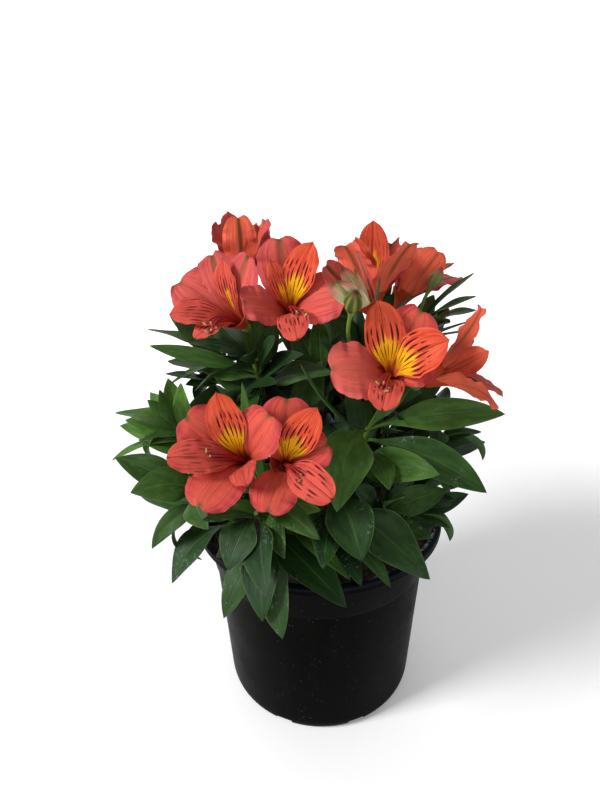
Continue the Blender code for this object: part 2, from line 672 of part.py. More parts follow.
def leaf_surface(leaf, along, across, margin=0.0):
    """Grid of points on a leaf and the directions its face looks in.

    The midrib is an arch from root to tip, raised by lift. The blade is laid square across it,
    rolled about it, folded up along it, and waved at its edges.
    """
    chord = leaf["tip"] - leaf["root"]
    length = np.linalg.norm(chord)
    forward = chord / length
    outward = unit([leaf["root"][0], leaf["root"][1], 0.0])
    up = np.array([0.0, 0.0, 1.0]) + 0.7 * outward
    raised = unit(up - np.dot(up, forward) * forward)
    side = np.cross(forward, raised)
    bent = leaf["root"] + 0.40 * chord + leaf["lift"] * length * raised + leaf["bow"] * length * side
    share = along[:, None]
    spine = bezier(leaf["root"], bent, leaf["tip"], along)
    tangent = (1 - share) * (bent - leaf["root"]) + share * (leaf["tip"] - bent)
    tangent /= np.linalg.norm(tangent, axis=1, keepdims=True)
    side = side - np.sum(side * tangent, axis=1, keepdims=True) * tangent
    side /= np.linalg.norm(side, axis=1, keepdims=True)
    face = np.cross(side, tangent)
    roll = np.radians(leaf["roll"] + leaf["twist"] * (share - 0.3))
    sideways = side * np.cos(roll) + face * np.sin(roll)
    facing = face * np.cos(roll) - side * np.sin(roll)
    half = leaf_half_width(leaf["width"], along)[:, None] + margin
    offset = across[None, :] * half
    rounding = 0.12 * leaf["width"]
    fold = LEAF_FOLD * (np.hypot(offset, rounding) - rounding)
    wave = leaf["wave"] * np.sin(9.0 * share + leaf["phase"]) * across * np.abs(across) * half
    points = spine[:, None] + offset[..., None] * sideways[:, None]
    points = points + (fold + wave)[..., None] * facing[:, None]
    return points, np.broadcast_to(facing[:, None], points.shape)


def leaf_trial(leaf, trial):
    """The leaf moved a little further from its place with every trial, by its own seeded draw."""
    if trial == 0:
        return leaf
    draw = np.random.default_rng([SEED, leaf["seed"], trial])
    moved = dict(leaf)
    way = unit(draw.normal(size=3))
    moved["tip"] = leaf["tip"] + way * TRIAL_STEP * trial
    moved["lift"] = leaf["lift"] + 0.004 * trial * draw.normal()
    moved["roll"] = leaf["roll"] + 1.0 * trial * draw.normal()
    return moved


def hand_leaves():
    """The leaves that the photograph shows, in the order of the lists."""
    listed = [(stem, row) for stem, rows in LEAVES.items() for row in rows]
    for number, (stem, (height, tip, width, lift, bow, roll)) in enumerate(listed + LATE_LEAVES):
        draw = np.random.default_rng([SEED, number])
        yield stem, dict(
            root=stem_point(stem, height), tip=np.array(tip) * MM, width=width * MM,
            lift=lift, bow=bow, roll=roll, twist=draw.uniform(-25, 25),
            wave=draw.uniform(0.05, 0.16), phase=draw.uniform(0, math.tau), seed=number,
        )


def fill_leaves():
    """Further leaves by rule: up the stem in a golden spiral, longer and flatter where they face out."""
    for place, (stem, (count, heading)) in enumerate(FILL_LEAVES.items()):
        whole = stem not in LEAVES
        for step in range(count):
            number = FILL_SEED + SEEDS_PER_STEM * place + step
            draw = np.random.default_rng([SEED, number])
            low, high = (0.34, 0.99) if whole else (0.30, 0.84)
            height = low + (high - low) * (step + 0.5) / count
            turn = math.radians(heading + GOLDEN_TURN * step + draw.uniform(-14, 14))
            root = stem_point(stem, height)
            level = np.array([math.cos(turn), math.sin(turn), 0.0])
            out = float(np.dot(level, unit([root[0], root[1], 0.0])))
            length = (66 + 9 * out + draw.uniform(-6, 8)) * MM
            climb = math.radians(34 - 26 * out + 20 * (height - 0.6) + draw.uniform(-8, 8))
            tip = root + length * (math.cos(climb) * level + math.sin(climb) * np.array([0.0, 0.0, 1.0]))
            tip[:2] *= min(1.0, FILL_REACH / np.hypot(tip[0], tip[1]))
            tip[2] = max(tip[2], FILL_LOW)
            yield stem, dict(
                root=root, tip=tip, width=draw.uniform(17, 24) * MM, lift=draw.uniform(0.16, 0.28),
                bow=draw.uniform(-0.08, 0.08), roll=draw.uniform(-18, 18), twist=draw.uniform(-25, 25),
                wave=draw.uniform(0.05, 0.16), phase=draw.uniform(0, math.tau), seed=number,
            )


def tree_of(mesh):
    points = [vertex.co.copy() for vertex in mesh.vertices]
    faces = [tuple(polygon.vertices) for polygon in mesh.polygons]
    return obstacle(points, faces)


def obstacle(points, faces):
    """A search tree over a mesh, with its box."""
    array = np.array([tuple(point) for point in points])
    return dict(tree=BVHTree.FromPolygons([tuple(p) for p in points], faces),
                low=array.min(axis=0), high=array.max(axis=0))


def shield(leaf, start):
    """A slightly fatter copy of the blade from start to the tip, for testing what it would cross."""
    along = np.linspace(start, 0.999, 9)
    middle, facing = leaf_surface(leaf, along, LEAF_COLUMNS, LEAF_CLEAR)
    shift = facing * (LEAF_THICKNESS / 2 + LEAF_CLEAR)
    rows, columns = middle.shape[:2]
    points = np.concatenate([(middle + shift).reshape(-1, 3), (middle - shift).reshape(-1, 3)])
    below = rows * columns
    faces = []
    for i in range(rows - 1):
        for j in range(columns - 1):
            a = i * columns + j
            quad = (a, a + 1, a + columns + 1, a + columns)
            faces.append(quad)
            faces.append(tuple(v + below for v in quad))
        for j in (0, columns - 1):
            a = i * columns + j
            faces.append((a, a + columns, a + columns + below, a + below))
    return obstacle(points, faces)


def boxes_meet(first, second):
    return bool(np.all(first["low"] <= second["high"]) and np.all(second["low"] <= first["high"]))


def crosses(piece, others):
    return any(boxes_meet(piece, other) and piece["tree"].overlap(other["tree"]) for other in others)


def place_leaves(solids):
    """Bends each leaf clear of all that stands before it; a leaf with no clear place is left out.

    solids maps a node to the obstacles of that node. The result maps a stem to its leaf meshes.
    """
    placed = {stem: [] for stem in STEMS}
    own_leaves = {stem: [] for stem in STEMS}
    for stem, leaf in [*hand_leaves(), *fill_leaves()]:
        others = [item for node, items in solids.items() if node != stem for item in items]
        for trial in range(TRIALS):
            moved = leaf_trial(leaf, trial)
            if leaf["seed"] >= FILL_SEED and np.hypot(*moved["tip"][:2]) > FILL_REACH + FILL_SLACK:
                continue
            if crosses(shield(moved, SHIELD_START), others):
                continue
            if crosses(shield(moved, SHIELD_START_OWN), own_leaves[stem]):
                continue
            stations = LEAF_STATIONS if leaf["seed"] < FILL_SEED else FILL_STATIONS
            middle, facing = leaf_surface(moved, stations, LEAF_COLUMNS)
            mesh = blade_mesh(f"{stem}_leaf", middle, facing, LEAF_THICKNESS)
            placed[stem].append(mesh)
            solids[stem].append(tree_of(mesh))
            own_leaves[stem].append(solids[stem][-1])
            break
    return placed


# Blooms

def bloom_frame(heading, roll):
    """Right, up and forward of a bloom; up leans to the sky, then rolls about the heading."""
    forward = unit(heading)
    sky = np.array([0.0, 0.0, 1.0]) if abs(forward[2]) < 0.9 else np.array([0.0, 1.0, 0.0])
    up = unit(sky - np.dot(sky, forward) * forward)
    right = np.cross(up, forward)
    turn = math.radians(roll)
    return (right * math.cos(turn) + up * math.sin(turn),
            up * math.cos(turn) - right * math.sin(turn),
            forward)


def tepal_half_width(kind, along):
    """Narrow claw, a swelling blade, and a rounded or pointed tip."""
    start, full = kind["rise"]
    swell = smooth_step((along - start) / (full - start))
    knee, power, blunt = kind["tip"]
    late = np.clip((along - knee) / (1.0 - knee), 0.0, 1.0)
    fall = (1.0 - late**power) ** blunt
    half = kind["half"] * MM
    claw = kind["claw"] * MM
    return (claw + (half - claw) * swell) * fall


def tepal_surface(kind, angle, along, across):
    """Grid of points and facings of a tepal, in its bloom's own frame, for a bloom of size 1.

    The midline starts at the hub, leans off the axis, and turns outwards as it goes. The blade is
    bent round the axis at the claw like part of a funnel, and opens out flat above it.
    """
    fine = np.linspace(0.0, 1.0, 101)
    lean = np.radians(kind["lean"] + (kind["flare"] - kind["lean"]) * fine ** kind["late"])
    length = kind["length"] * MM
    step = length / (len(fine) - 1)
    between = (lean[1:] + lean[:-1]) / 2
    radial = kind["start"] * MM + np.concatenate([[0.0], np.cumsum(np.sin(between) * step)])
    axial = TEPAL_FOOT + np.concatenate([[0.0], np.cumsum(np.cos(between) * step)])
    half = tepal_half_width(kind, along)[:, None]
    offset = across[None, :] * half
    notch = kind["notch"] * MM * np.exp(-((offset / (0.22 * kind["half"] * MM)) ** 2)) * along[:, None] ** 12
    share = np.clip(along[:, None] - notch / length, 0.0, 1.0)
    lean_here = np.interp(share, fine, lean)
    radial_here = np.interp(share, fine, radial)
    axial_here = np.interp(share, fine, axial)
    bend = CLAW_BEND * np.clip(1.0 - share / 0.8, 0.0, 1.0) ** 3 + kind["bend"] / MM
    turn = offset * bend
    safe = np.where(np.abs(bend) < 1e-6, 1e-6, bend)
    sideways = np.sin(turn) / safe
    inwards = (1.0 - np.cos(turn)) / safe + TEPAL_TILT * sideways * smooth_step(share / 0.3)
    radial_way = -np.cos(lean_here)
    axial_way = np.sin(lean_here)
    r = radial_here + inwards * radial_way
    z = axial_here + inwards * axial_way
    spin = math.radians(angle)
    out = np.array([math.cos(spin), math.sin(spin), 0.0])
    tangent = np.array([-math.sin(spin), math.cos(spin), 0.0])
    axis = np.array([0.0, 0.0, 1.0])
    points = r[..., None] * out + z[..., None] * axis + sideways[..., None] * tangent
    face_in = np.cos(turn)
    face_side = -np.sin(turn)
    facing = ((face_in * radial_way)[..., None] * out + (face_in * axial_way)[..., None] * axis
              + face_side[..., None] * tangent)
    return points, facing


def bloom_tepals(name):
    """Kind and angle of each tepal of a bloom, with what differs from the plain one."""
    changes = BLOOMS[name][4]
    plain = [("outer", angle) for angle in OUTER_ANGLES]
    plain += [("upper", angle) for angle in UPPER_ANGLES] + [("lower", LOWER_ANGLE)]
    for number, (kind_name, angle) in enumerate(plain):
        kind = dict(KINDS[kind_name])
        angle, flare, length, width = changes.get(number, (angle, kind["flare"], 1.0, 1.0))
        kind["flare"] = flare
        kind["length"] *= length
        kind["half"] *= width
        yield kind, angle


def in_world(name, points):
    """From a bloom's own frame to the world."""
    return np.array(BLOOMS[name][1]) * MM + world_direction(name, points)


def world_direction(name, ways):
    _, _, heading, roll, _ = BLOOMS[name]
    right, up, forward = bloom_frame(heading, roll)
    return ways[..., 0:1] * right + ways[..., 1:2] * up + ways[..., 2:3] * forward


def stamen_path(number):
    """From the hub out of the funnel, hanging towards the lower tepal, with the anther at the end."""
    turn = math.tau * (number + 0.5) / STAMENS
    root = np.array([1.1 * math.cos(turn), 1.1 * math.sin(turn), 3.0]) * MM
    spread = np.array([3.4 * math.cos(turn), 3.0 * math.sin(turn), 0.0]) * MM
    reach = STAMEN_LENGTH * (0.86 + 0.05 * (number % 3))
    middle = np.array([0.0, -4.5 * MM, 0.66 * reach])
    end = np.array([0.0, -15.0 * MM, 1.0 * reach]) + spread
    points = bezier(root, middle, end, np.array([0.0, 0.5, 1.0]))
    radii = [STAMEN_RADIUS, STAMEN_RADIUS, ANTHER_RADIUS]
    return points, radii


def hub_mesh(name):
    """A short cone at the foot of the funnel with a flat underside."""
    shape = bmesh.new()
    bmesh.ops.create_cone(shape, cap_ends=True, segments=HUB_SIDES, radius1=0.75 * HUB_RADIUS,
                          radius2=HUB_RADIUS, depth=HUB_LENGTH)
    mesh = bpy.data.meshes.new(f"{name}_hub")
    bmesh.ops.translate(shape, vec=(0.0, 0.0, HUB_LENGTH / 2), verts=shape.verts)
    for vertex in shape.verts:
        vertex.co = in_world(name, np.array(vertex.co))
    shape.to_mesh(mesh)
    shape.free()
    return mesh


def bloom_pieces(name):
    pieces = []
    for kind, angle in bloom_tepals(name):
        narrow = kind["half"] <= NARROW_TEPAL or name in HALF_HIDDEN
        stations = NARROW_STATIONS if narrow else TEPAL_STATIONS
        columns = NARROW_COLUMNS if narrow else TEPAL_COLUMNS
        points, facing = tepal_surface(kind, angle, stations, columns)
        pieces.append(blade_mesh(f"{name}_tepal", in_world(name, points),
                                 world_direction(name, facing), TEPAL_THICKNESS))
    if name not in NO_STAMENS:
        for number in STAMENS_BUILT:
            points, radii = stamen_path(number)
            pieces.append(tube_mesh(f"{name}_stamen", in_world(name, points), radii, 0))
    return pieces


def make_blooms(collection):
    solids = {}
    open_finish = finish("coral_tepals", (0.60, 0.10, 0.06), 0.5)
    for name in BLOOMS:
        hub = place_mesh(name, hub_mesh(name), collection)
        solids[name] = join_pieces(name, hub, bloom_pieces(name), open_finish, collection)
    return solids


def green_pieces():
    """Stem, pedicels and buds of every stem, still loose."""
    pieces = {stem: [stem_mesh(stem)] for stem in STEMS}
    for name, (stem, foot, heading, _, _) in BLOOMS.items():
        pieces[stem].append(pedicel_mesh(f"{name}_pedicel", stem, foot, heading))
    for number, (stem, *bud) in enumerate(BUDS):
        pieces[stem].append(bud_mesh(f"bud_{number}", stem, *bud))
    return pieces


def main():
    clear_scene()
    collection = new_collection("potted_peruvian_lily")
    cutters = new_collection("cutters")
    pot = make_pot(collection, cutters)
    soil = make_soil(collection, cutters)
    blooms = make_blooms(collection)
    greens = green_pieces()
    solids = {"pot": [tree_of(pot.data)], "soil": [tree_of(soil.data)]}
    solids.update({name: [tree_of(item.data)] for name, item in blooms.items()})
    solids.update({stem: [tree_of(mesh) for mesh in meshes] for stem, meshes in greens.items()})
    leaves = place_leaves(solids)
    leaf_finish = finish("green_leaf", (0.045, 0.09, 0.035), 0.5)
    for stem, meshes in greens.items():
        base = place_mesh(stem, meshes[0], collection)
        join_pieces(stem, base, meshes[1:] + leaves[stem], leaf_finish, collection)


main()
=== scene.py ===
"""Looks of the potted Peruvian lily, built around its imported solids.

Metres, +Z up. The origin is the centre of the pot's underside, and the photograph shows the -Y side.
"""

import math

import bpy
import numpy as np
from mathutils import Euler, Matrix, Vector


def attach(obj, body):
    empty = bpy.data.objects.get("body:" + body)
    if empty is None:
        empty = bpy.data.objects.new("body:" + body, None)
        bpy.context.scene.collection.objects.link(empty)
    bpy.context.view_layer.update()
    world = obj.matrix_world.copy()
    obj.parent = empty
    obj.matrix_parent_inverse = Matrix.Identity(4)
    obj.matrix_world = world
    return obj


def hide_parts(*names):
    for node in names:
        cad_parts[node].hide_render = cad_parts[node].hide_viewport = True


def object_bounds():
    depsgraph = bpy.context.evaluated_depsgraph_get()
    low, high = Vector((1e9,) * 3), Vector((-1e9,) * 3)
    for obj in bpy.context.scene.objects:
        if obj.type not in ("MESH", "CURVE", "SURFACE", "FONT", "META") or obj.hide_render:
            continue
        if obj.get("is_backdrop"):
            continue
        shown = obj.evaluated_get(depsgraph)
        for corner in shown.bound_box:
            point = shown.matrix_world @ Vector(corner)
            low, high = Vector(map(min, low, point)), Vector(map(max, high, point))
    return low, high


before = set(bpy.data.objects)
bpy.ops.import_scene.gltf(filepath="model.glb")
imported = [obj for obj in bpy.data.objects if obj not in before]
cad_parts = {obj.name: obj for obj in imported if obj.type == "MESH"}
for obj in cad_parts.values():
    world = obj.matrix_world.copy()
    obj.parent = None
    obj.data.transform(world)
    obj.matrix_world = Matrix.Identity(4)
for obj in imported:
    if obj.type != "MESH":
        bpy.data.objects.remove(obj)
cad_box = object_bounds()
MM = 0.001


# Camera.
# The picture was taken from just over the blooms, looking down at the pot, with a moderately wide
# lens held almost level.
CAMERA_PLACE = (0.0, -367.7 * MM, 389.8 * MM)
CAMERA_PITCH = 23.06            # degrees down from level
CAMERA_YAW = 1.94               # degrees to the left of the pot's axis
CAMERA_ROLL = -1.09
CAMERA_LENS = 26.0              # millimetres
SENSOR_WIDTH = 36.0
CLIP_NEAR = 10 * MM
CLIP_FAR = 60.0

camera = bpy.data.objects.new("camera", bpy.data.cameras.new("camera"))
bpy.context.scene.collection.objects.link(camera)
camera.data.lens = CAMERA_LENS
camera.data.sensor_width = SENSOR_WIDTH
camera.data.clip_start = CLIP_NEAR
camera.data.clip_end = CLIP_FAR
aim = Euler((math.radians(90 - CAMERA_PITCH), 0.0, math.radians(CAMERA_YAW))).to_matrix().to_4x4()
lean = Matrix.Rotation(math.radians(CAMERA_ROLL), 4, "Z")
camera.matrix_world = Matrix.Translation(CAMERA_PLACE) @ aim @ lean
bpy.context.scene.camera = camera


# Floor and studio.
# A white sweep: a smooth painted floor that curves up into a wall far behind. It is lit by a large
# soft lamp at the left, low enough to throw the pot's shadow to the right, by a weak one in front,
# and by a white room all round.
FLOOR_WIDTH = 16.0
FLOOR_FRONT = -6.0
FLOOR_BACK = 3.5                # where the wall starts to rise
WALL_CURVE = 1.5
WALL_HEIGHT = 6.0
ROOM_LIGHT = 0.33
GLOW_NEAR = 0.10                # light that the sweep gives off of itself, round the pot
GLOW_FAR = 0.62                 # and where the lamps hardly reach
GLOW_RANGE = (0.34, 0.90)       # distances from the pot between which it rises
LAMP_AIM = (0.0, 0.0, 0.16)
SIDE_LAMP = dict(place=(-1.74, -0.89, 1.50), size=0.66, power=55.0)
FRONT_LAMP = dict(place=(0.25, -1.5, 1.7), size=1.2, power=6.0)


class Wire:
    """An output socket of a node. Sums, products and the like of wires add Math nodes."""

    def __init__(self, socket):
        self.socket = socket

    def maths(self, operation, *others):
        """A Math node on this wire and the others."""
        node = self.socket.id_data.nodes.new("ShaderNodeMath")
        node.operation = operation
        for place, value in zip(node.inputs, (self, *others)):
            feed(place, value)
        return Wire(node.outputs[0])

    def __add__(self, other):
        return self.maths("ADD", other)

    def __sub__(self, other):
        return self.maths("SUBTRACT", other)

    def __rsub__(self, other):
        return (self * -1.0) + other

    def __mul__(self, other):
        return self.maths("MULTIPLY", other)

    def __truediv__(self, other):
        return self.maths("DIVIDE", other)

    def __pow__(self, other):
        return self.maths("POWER", other)

    __radd__ = __add__
    __rmul__ = __mul__


def feed(place, value):
    """Puts a wire or a fixed value on an input socket."""
    if isinstance(value, Wire):
        place.id_data.links.new(value.socket, place)
    elif isinstance(value, tuple) and place.type == "RGBA":
        place.default_value = (*value, 1.0)
    else:
        place.default_value = value


class Finish:
    """A material with a Principled shader, and the one way in which its other nodes are made."""

    def __init__(self, name, **constants):
        self.material = bpy.data.materials.new(name)
        self.material.use_nodes = True
        self.tree = self.material.node_tree
        self.shader = self.tree.nodes["Principled BSDF"]
        for socket, value in constants.items():
            feed(self.shader.inputs[socket.replace("_", " ")], value)

    def node(self, kind, values, output=0, **settings):
        """A node of a kind; settings are set first, then values maps sockets to wires or numbers."""
        made = self.tree.nodes.new("ShaderNode" + kind)
        for name, setting in settings.items():
            setattr(made, name, setting)
        for socket, value in values.items():
            feed(made.inputs[socket], value)
        return Wire(made.outputs[output])

    def place(self):
        """Object coordinates in metres."""
        return self.node("TexCoord", {}, "Object")

    def split(self, vector):
        """The three numbers of a vector."""
        return [self.node("SeparateXYZ", {0: vector}, axis) for axis in "XYZ"]

    def stored(self, name):
        """The three numbers that a piece stores on its points under a name."""
        return self.split(self.node("Attribute", {}, "Vector", attribute_name=name))

    def vector(self, x, y, z):
        """A vector of three numbers."""
        return self.node("CombineXYZ", {0: x, 1: y, 2: z})

    def noise(self, vector, scale, detail=3.0, roughness=0.55):
        """Smooth noise about 0.5, with scale waves to the metre."""
        values = {"Vector": vector, "Scale": scale, "Detail": detail, "Roughness": roughness}
        return self.node("TexNoise", values, "Fac")

    def grain(self, vector, stretch):
        """Noise drawn out along an axis: stretch gives its waves to the metre in X, Y and Z."""
        return self.noise(self.node("Mapping", {"Vector": vector, "Scale": stretch}), 1.0)

    def ramp(self, value, low, high, low_out=0.0, high_out=1.0):
        """Smooth change from low_out to high_out as value goes from low to high."""
        values = {"Value": value, "From Min": low, "From Max": high, "To Min": low_out, "To Max": high_out}
        return self.node("MapRange", values, interpolation_type="SMOOTHSTEP")

    def mix(self, share, first, second):
        """Colour between first and second."""
        return self.node("Mix", {0: share, 6: first, 7: second}, 2, data_type="RGBA")

    def layers(self, colour, *coats):
        """A colour with coats over it, each a share and a colour, in the order that they are given."""
        for share, coat in coats:
            colour = self.mix(share, colour, coat)
        return colour

    def colour(self, value):
        """Feeds the base colour."""
        feed(self.shader.inputs["Base Color"], value)

    def rough(self, value):
        """Feeds the roughness."""
        feed(self.shader.inputs["Roughness"], value)

    def bump(self, height, depth):
        """Relief: height from 0 to 1 stands for depth metres."""
        feed(self.shader.inputs["Normal"], self.node("Bump", {"Height": height, "Distance": depth}))


def srgb(*values):
    """A colour given as a picture's 0 to 255 values, made linear."""
    values = np.array(values) / 255
    linear = np.where(values < 0.04045, values / 12.92, ((values + 0.055) / 1.055) ** 2.4)
    return tuple(float(value) for value in linear)


def mottled(name, scale, first, second, **constants):
    """A finish whose colour wanders between two, with scale waves to the metre."""
    finish = Finish(name, **constants)
    finish.colour(finish.mix(finish.noise(finish.place(), scale), first, second))
    return finish


def mesh_piece(name, points, faces, finish, sharp=None):
    """A smooth mesh object at the origin; edges that turn by more than sharp degrees stay sharp."""
    mesh = bpy.data.meshes.new(name)
    mesh.from_pydata(np.asarray(points).reshape(-1, 3).tolist(), [], np.asarray(faces).tolist())
    mesh.materials.append(finish.material)
    mesh.shade_smooth()
    if sharp is not None:
        mesh.set_sharp_from_angle(angle=math.radians(sharp))
    piece = bpy.data.objects.new(name, mesh)
    bpy.context.scene.collection.objects.link(piece)
    return piece


def stacked(*arrays):
    """Arrays of X, Y and Z stretched to one shape and stacked into points."""
    return np.stack(np.broadcast_arrays(*arrays), axis=-1)


def grid_faces(rows, columns, closed=False):
    """Quads of a grid of points counted row by row; closed joins the last column to the first."""
    index = np.arange(rows * columns).reshape(rows, columns)
    right = np.roll(index, -1, axis=1)
    if not closed:
        index, right = index[:, :-1], right[:, :-1]
    return np.stack([index[:-1], right[:-1], right[1:], index[1:]], axis=-1).reshape(-1, 4)


def soft_lamp(name, place, size, power):
    """A square panel of light that faces the plant."""
    lamp = bpy.data.objects.new(name, bpy.data.lights.new(name, "AREA"))
    lamp.data.size = size
    lamp.data.energy = power
    lamp.location = place
    lamp.rotation_euler = (Vector(LAMP_AIM) - Vector(place)).to_track_quat("-Z", "Y").to_euler()
    bpy.context.scene.collection.objects.link(lamp)


bend = np.linspace(0.0, math.pi / 2, 13)
sweep_y = np.concatenate([[FLOOR_FRONT], FLOOR_BACK + WALL_CURVE * np.sin(bend), [FLOOR_BACK + WALL_CURVE]])
sweep_z = np.concatenate([[0.0], WALL_CURVE * (1.0 - np.cos(bend)), [WALL_HEIGHT]])
sides = np.array([-FLOOR_WIDTH / 2, FLOOR_WIDTH / 2])
sweep_points = stacked(sides[None, :], sweep_y[:, None], sweep_z[:, None])
white = mottled("white_sweep", 2.0, (0.96, 0.96, 0.96), (0.97, 0.97, 0.97),
                Roughness=0.9, Specular_IOR_Level=0.1, Emission_Strength=1.0)
away = white.node("VectorMath", {0: white.place()}, "Value", operation="LENGTH")
glow = white.ramp(away, *GLOW_RANGE, GLOW_NEAR, GLOW_FAR)
feed(white.shader.inputs["Emission Color"], white.vector(glow, glow, glow))
floor = mesh_piece("studio_floor", sweep_points, grid_faces(len(sweep_y), 2), white)
floor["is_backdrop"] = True

room = bpy.data.worlds.new("studio_room")
bpy.context.scene.world = room
room.use_nodes = True
room_light = room.node_tree.nodes["Background"]
room_light.inputs["Color"].default_value = (1.0, 1.0, 1.0, 1.0)
room_light.inputs["Strength"].default_value = ROOM_LIGHT
soft_lamp("side_lamp", **SIDE_LAMP)
soft_lamp("front_lamp", **FRONT_LAMP)
bpy.context.scene.view_settings.view_transform = "Standard"


# Pot.
# A nursery pot, injection moulded in black polypropylene: a flat-topped lip, a collar with a step
# under it, a tapering body, and drainage notches round the rounded bottom corner. The plastic is
# satin, dusty and marked by hard water on the inside of the rim.
POT_HEIGHT = 146 * MM
RIM_RADIUS = 90 * MM
RIM_WIDTH = 5.5 * MM
LIP_DROP = 6 * MM
COLLAR_RADIUS = 85 * MM
COLLAR_END = 113.6 * MM
COLLAR_END_RADIUS = 80 * MM
STEP_IN = 1.4 * MM
STEP_DROP = 1.0 * MM
BASE_RADIUS = 72.2 * MM
CORNER = 5 * MM
WALL = 1.7 * MM
FLOOR = 2.5 * MM
POLE = 0.01 * MM                # radius of the tiny ring in which a turned surface ends
SOIL_TOP = 124 * MM
NOTCHES = 8
NOTCH_WIDTH = 12 * MM
NOTCH_HEIGHT = 4.4 * MM
NOTCH_DEPTH = 4.5 * MM
NOTCH_EDGE = 0.6 * MM
WOBBLE = 0.15 * MM              # how far the thin wall is out of round
POT_TURN = 360                  # columns round the pot
POT_SPACING = 3.0 * MM          # between its rows


def rounded_profile(corners, steps=5):
    """A polyline of (radius, height, rounding) with each corner replaced by a short curve.

    The curve starts and ends at the rounding's distance from the corner and bends through it.
    """
    points = [np.array(corners[0][:2])]
    share = np.linspace(0.0, 1.0, steps)[:, None]
    for before, here, after in zip(corners[:-2], corners[1:-1], corners[2:]):
        corner = np.array(here[:2])
        ends = []
        for other in (before, after):
            way = np.array(other[:2]) - corner
            reach = min(here[2], 0.45 * np.linalg.norm(way))
            ends.append(corner + way / np.linalg.norm(way) * reach)
        points.extend((1 - share) ** 2 * ends[0] + 2 * share * (1 - share) * corner + share**2 * ends[1])
    points.append(np.array(corners[-1][:2]))
    return np.array(points)


def denser(profile, spacing):
    """The same profile with points added so that no stretch is longer than spacing."""
    lengths = np.linalg.norm(np.diff(profile, axis=0), axis=1)
    pieces = [np.linspace(a, b, max(1, math.ceil(d / spacing)), endpoint=False)
              for a, b, d in zip(profile[:-1], profile[1:], lengths)]
    return np.concatenate([*pieces, profile[-1:]])


def turned_surface(profile, columns):
    """Points of a profile of (radius, height) turned about +Z, a row for each profile point."""
    turn = np.arange(columns) * math.tau / columns
    radius, height = profile[:, 0, None], profile[:, 1, None]
    return stacked(radius * np.cos(turn), radius * np.sin(turn), height)


def smooth_step(value):
    """0 up to 0 and 1 from 1 on, with three times the square less twice the cube between."""
    value = np.clip(value, 0.0, 1.0)
    return value * value * (3.0 - 2.0 * value)


def store(piece, name, numbers):
    """Three numbers for each point of a piece, which its finish reads by that name."""
    layer = piece.data.attributes.new(name, "FLOAT_VECTOR", "POINT")
    layer.data.foreach_set("vector", np.ascontiguousarray(numbers, dtype=np.float32).ravel())


pot_corners = [
    (POLE, FLOOR, 0.0),
    (BASE_RADIUS - WALL - 0.7 * MM, FLOOR, 1.5 * MM),
    (COLLAR_END_RADIUS - STEP_IN - WALL, COLLAR_END - STEP_DROP, 0.6 * MM),
    (COLLAR_END_RADIUS - WALL, COLLAR_END + 0.4 * MM, 0.6 * MM),
    (COLLAR_RADIUS - WALL, POT_HEIGHT - LIP_DROP, 2.0 * MM),
    (RIM_RADIUS - RIM_WIDTH, POT_HEIGHT, 1.2 * MM),
    (RIM_RADIUS, POT_HEIGHT, 1.1 * MM),
    (RIM_RADIUS, POT_HEIGHT - LIP_DROP, 1.0 * MM),
    (COLLAR_RADIUS, POT_HEIGHT - LIP_DROP - 0.3 * MM, 0.9 * MM),
    (COLLAR_END_RADIUS, COLLAR_END, 0.5 * MM),
    (COLLAR_END_RADIUS - STEP_IN, COLLAR_END - STEP_DROP, 0.5 * MM),
    (BASE_RADIUS, CORNER, 4.0 * MM),
    (BASE_RADIUS - 3.0 * MM, 0.0, 1.2 * MM),
    (POLE, 0.0, 0.0),
]
pot_profile = denser(rounded_profile(pot_corners)[::-1], POT_SPACING)
pot_points = turned_surface(pot_profile, POT_TURN)
x, y, z = np.moveaxis(pot_points, -1, 0)
radius = np.hypot(x, y)
angle = np.arctan2(y, x)
from_notch = np.abs((angle * NOTCHES / math.tau) % 1.0 - 0.5) * math.tau / NOTCHES * BASE_RADIUS
notch = (smooth_step((NOTCH_WIDTH / 2 - from_notch) / NOTCH_EDGE + 0.5)
         * smooth_step((NOTCH_HEIGHT - z) / NOTCH_EDGE))
dent = np.where((radius > BASE_RADIUS - 4.0 * MM) & (z < COLLAR_END), NOTCH_DEPTH * notch, 0.0)
wobble = WOBBLE * np.sin(3 * angle + 0.8) * smooth_step(z / (60 * MM)) * (radius > 20 * MM)
pot_points[..., :2] *= ((radius - dent + wobble) / radius)[..., None]

plastic = Finish("black_plastic", Roughness=0.42, Specular_IOR_Level=0.02)
at = plastic.place()
right, _, height = plastic.split(at)
level = plastic.node("VectorMath", {0: at, 1: (1.0, 1.0, 0.0)}, operation="MULTIPLY")
radius = plastic.node("VectorMath", {0: level}, "Value", operation="LENGTH")
inside, _, _ = plastic.stored("pot_side")
grime = plastic.noise(at, 38.0, 5.0, 0.65)
streaks = plastic.grain(at, (90.0, 90.0, 6.0))
specks = plastic.node("TexVoronoi", {"Vector": at, "Scale": 330.0}, "Distance")
dust = plastic.ramp(specks, 0.20, 0.04) * plastic.ramp(plastic.noise(at, 120.0, 1.0), 0.50, 0.64)
under_rim = inside * plastic.ramp(height, POT_HEIGHT - 26 * MM, POT_HEIGHT - 10 * MM)
crust = plastic.ramp(plastic.noise(at, 140.0, 6.0, 0.7), 0.43, 0.58)
lime = under_rim * plastic.ramp(right, 24 * MM, 50 * MM) * crust
# A bluish band round the top of the rim: a painted highlight, standing for the light that the rim's top edge
# reflects.
rim_top_highlight = (plastic.ramp(radius, RIM_RADIUS - 6.0 * MM, RIM_RADIUS)
          * plastic.ramp(height, POT_HEIGHT - 3 * MM, POT_HEIGHT))
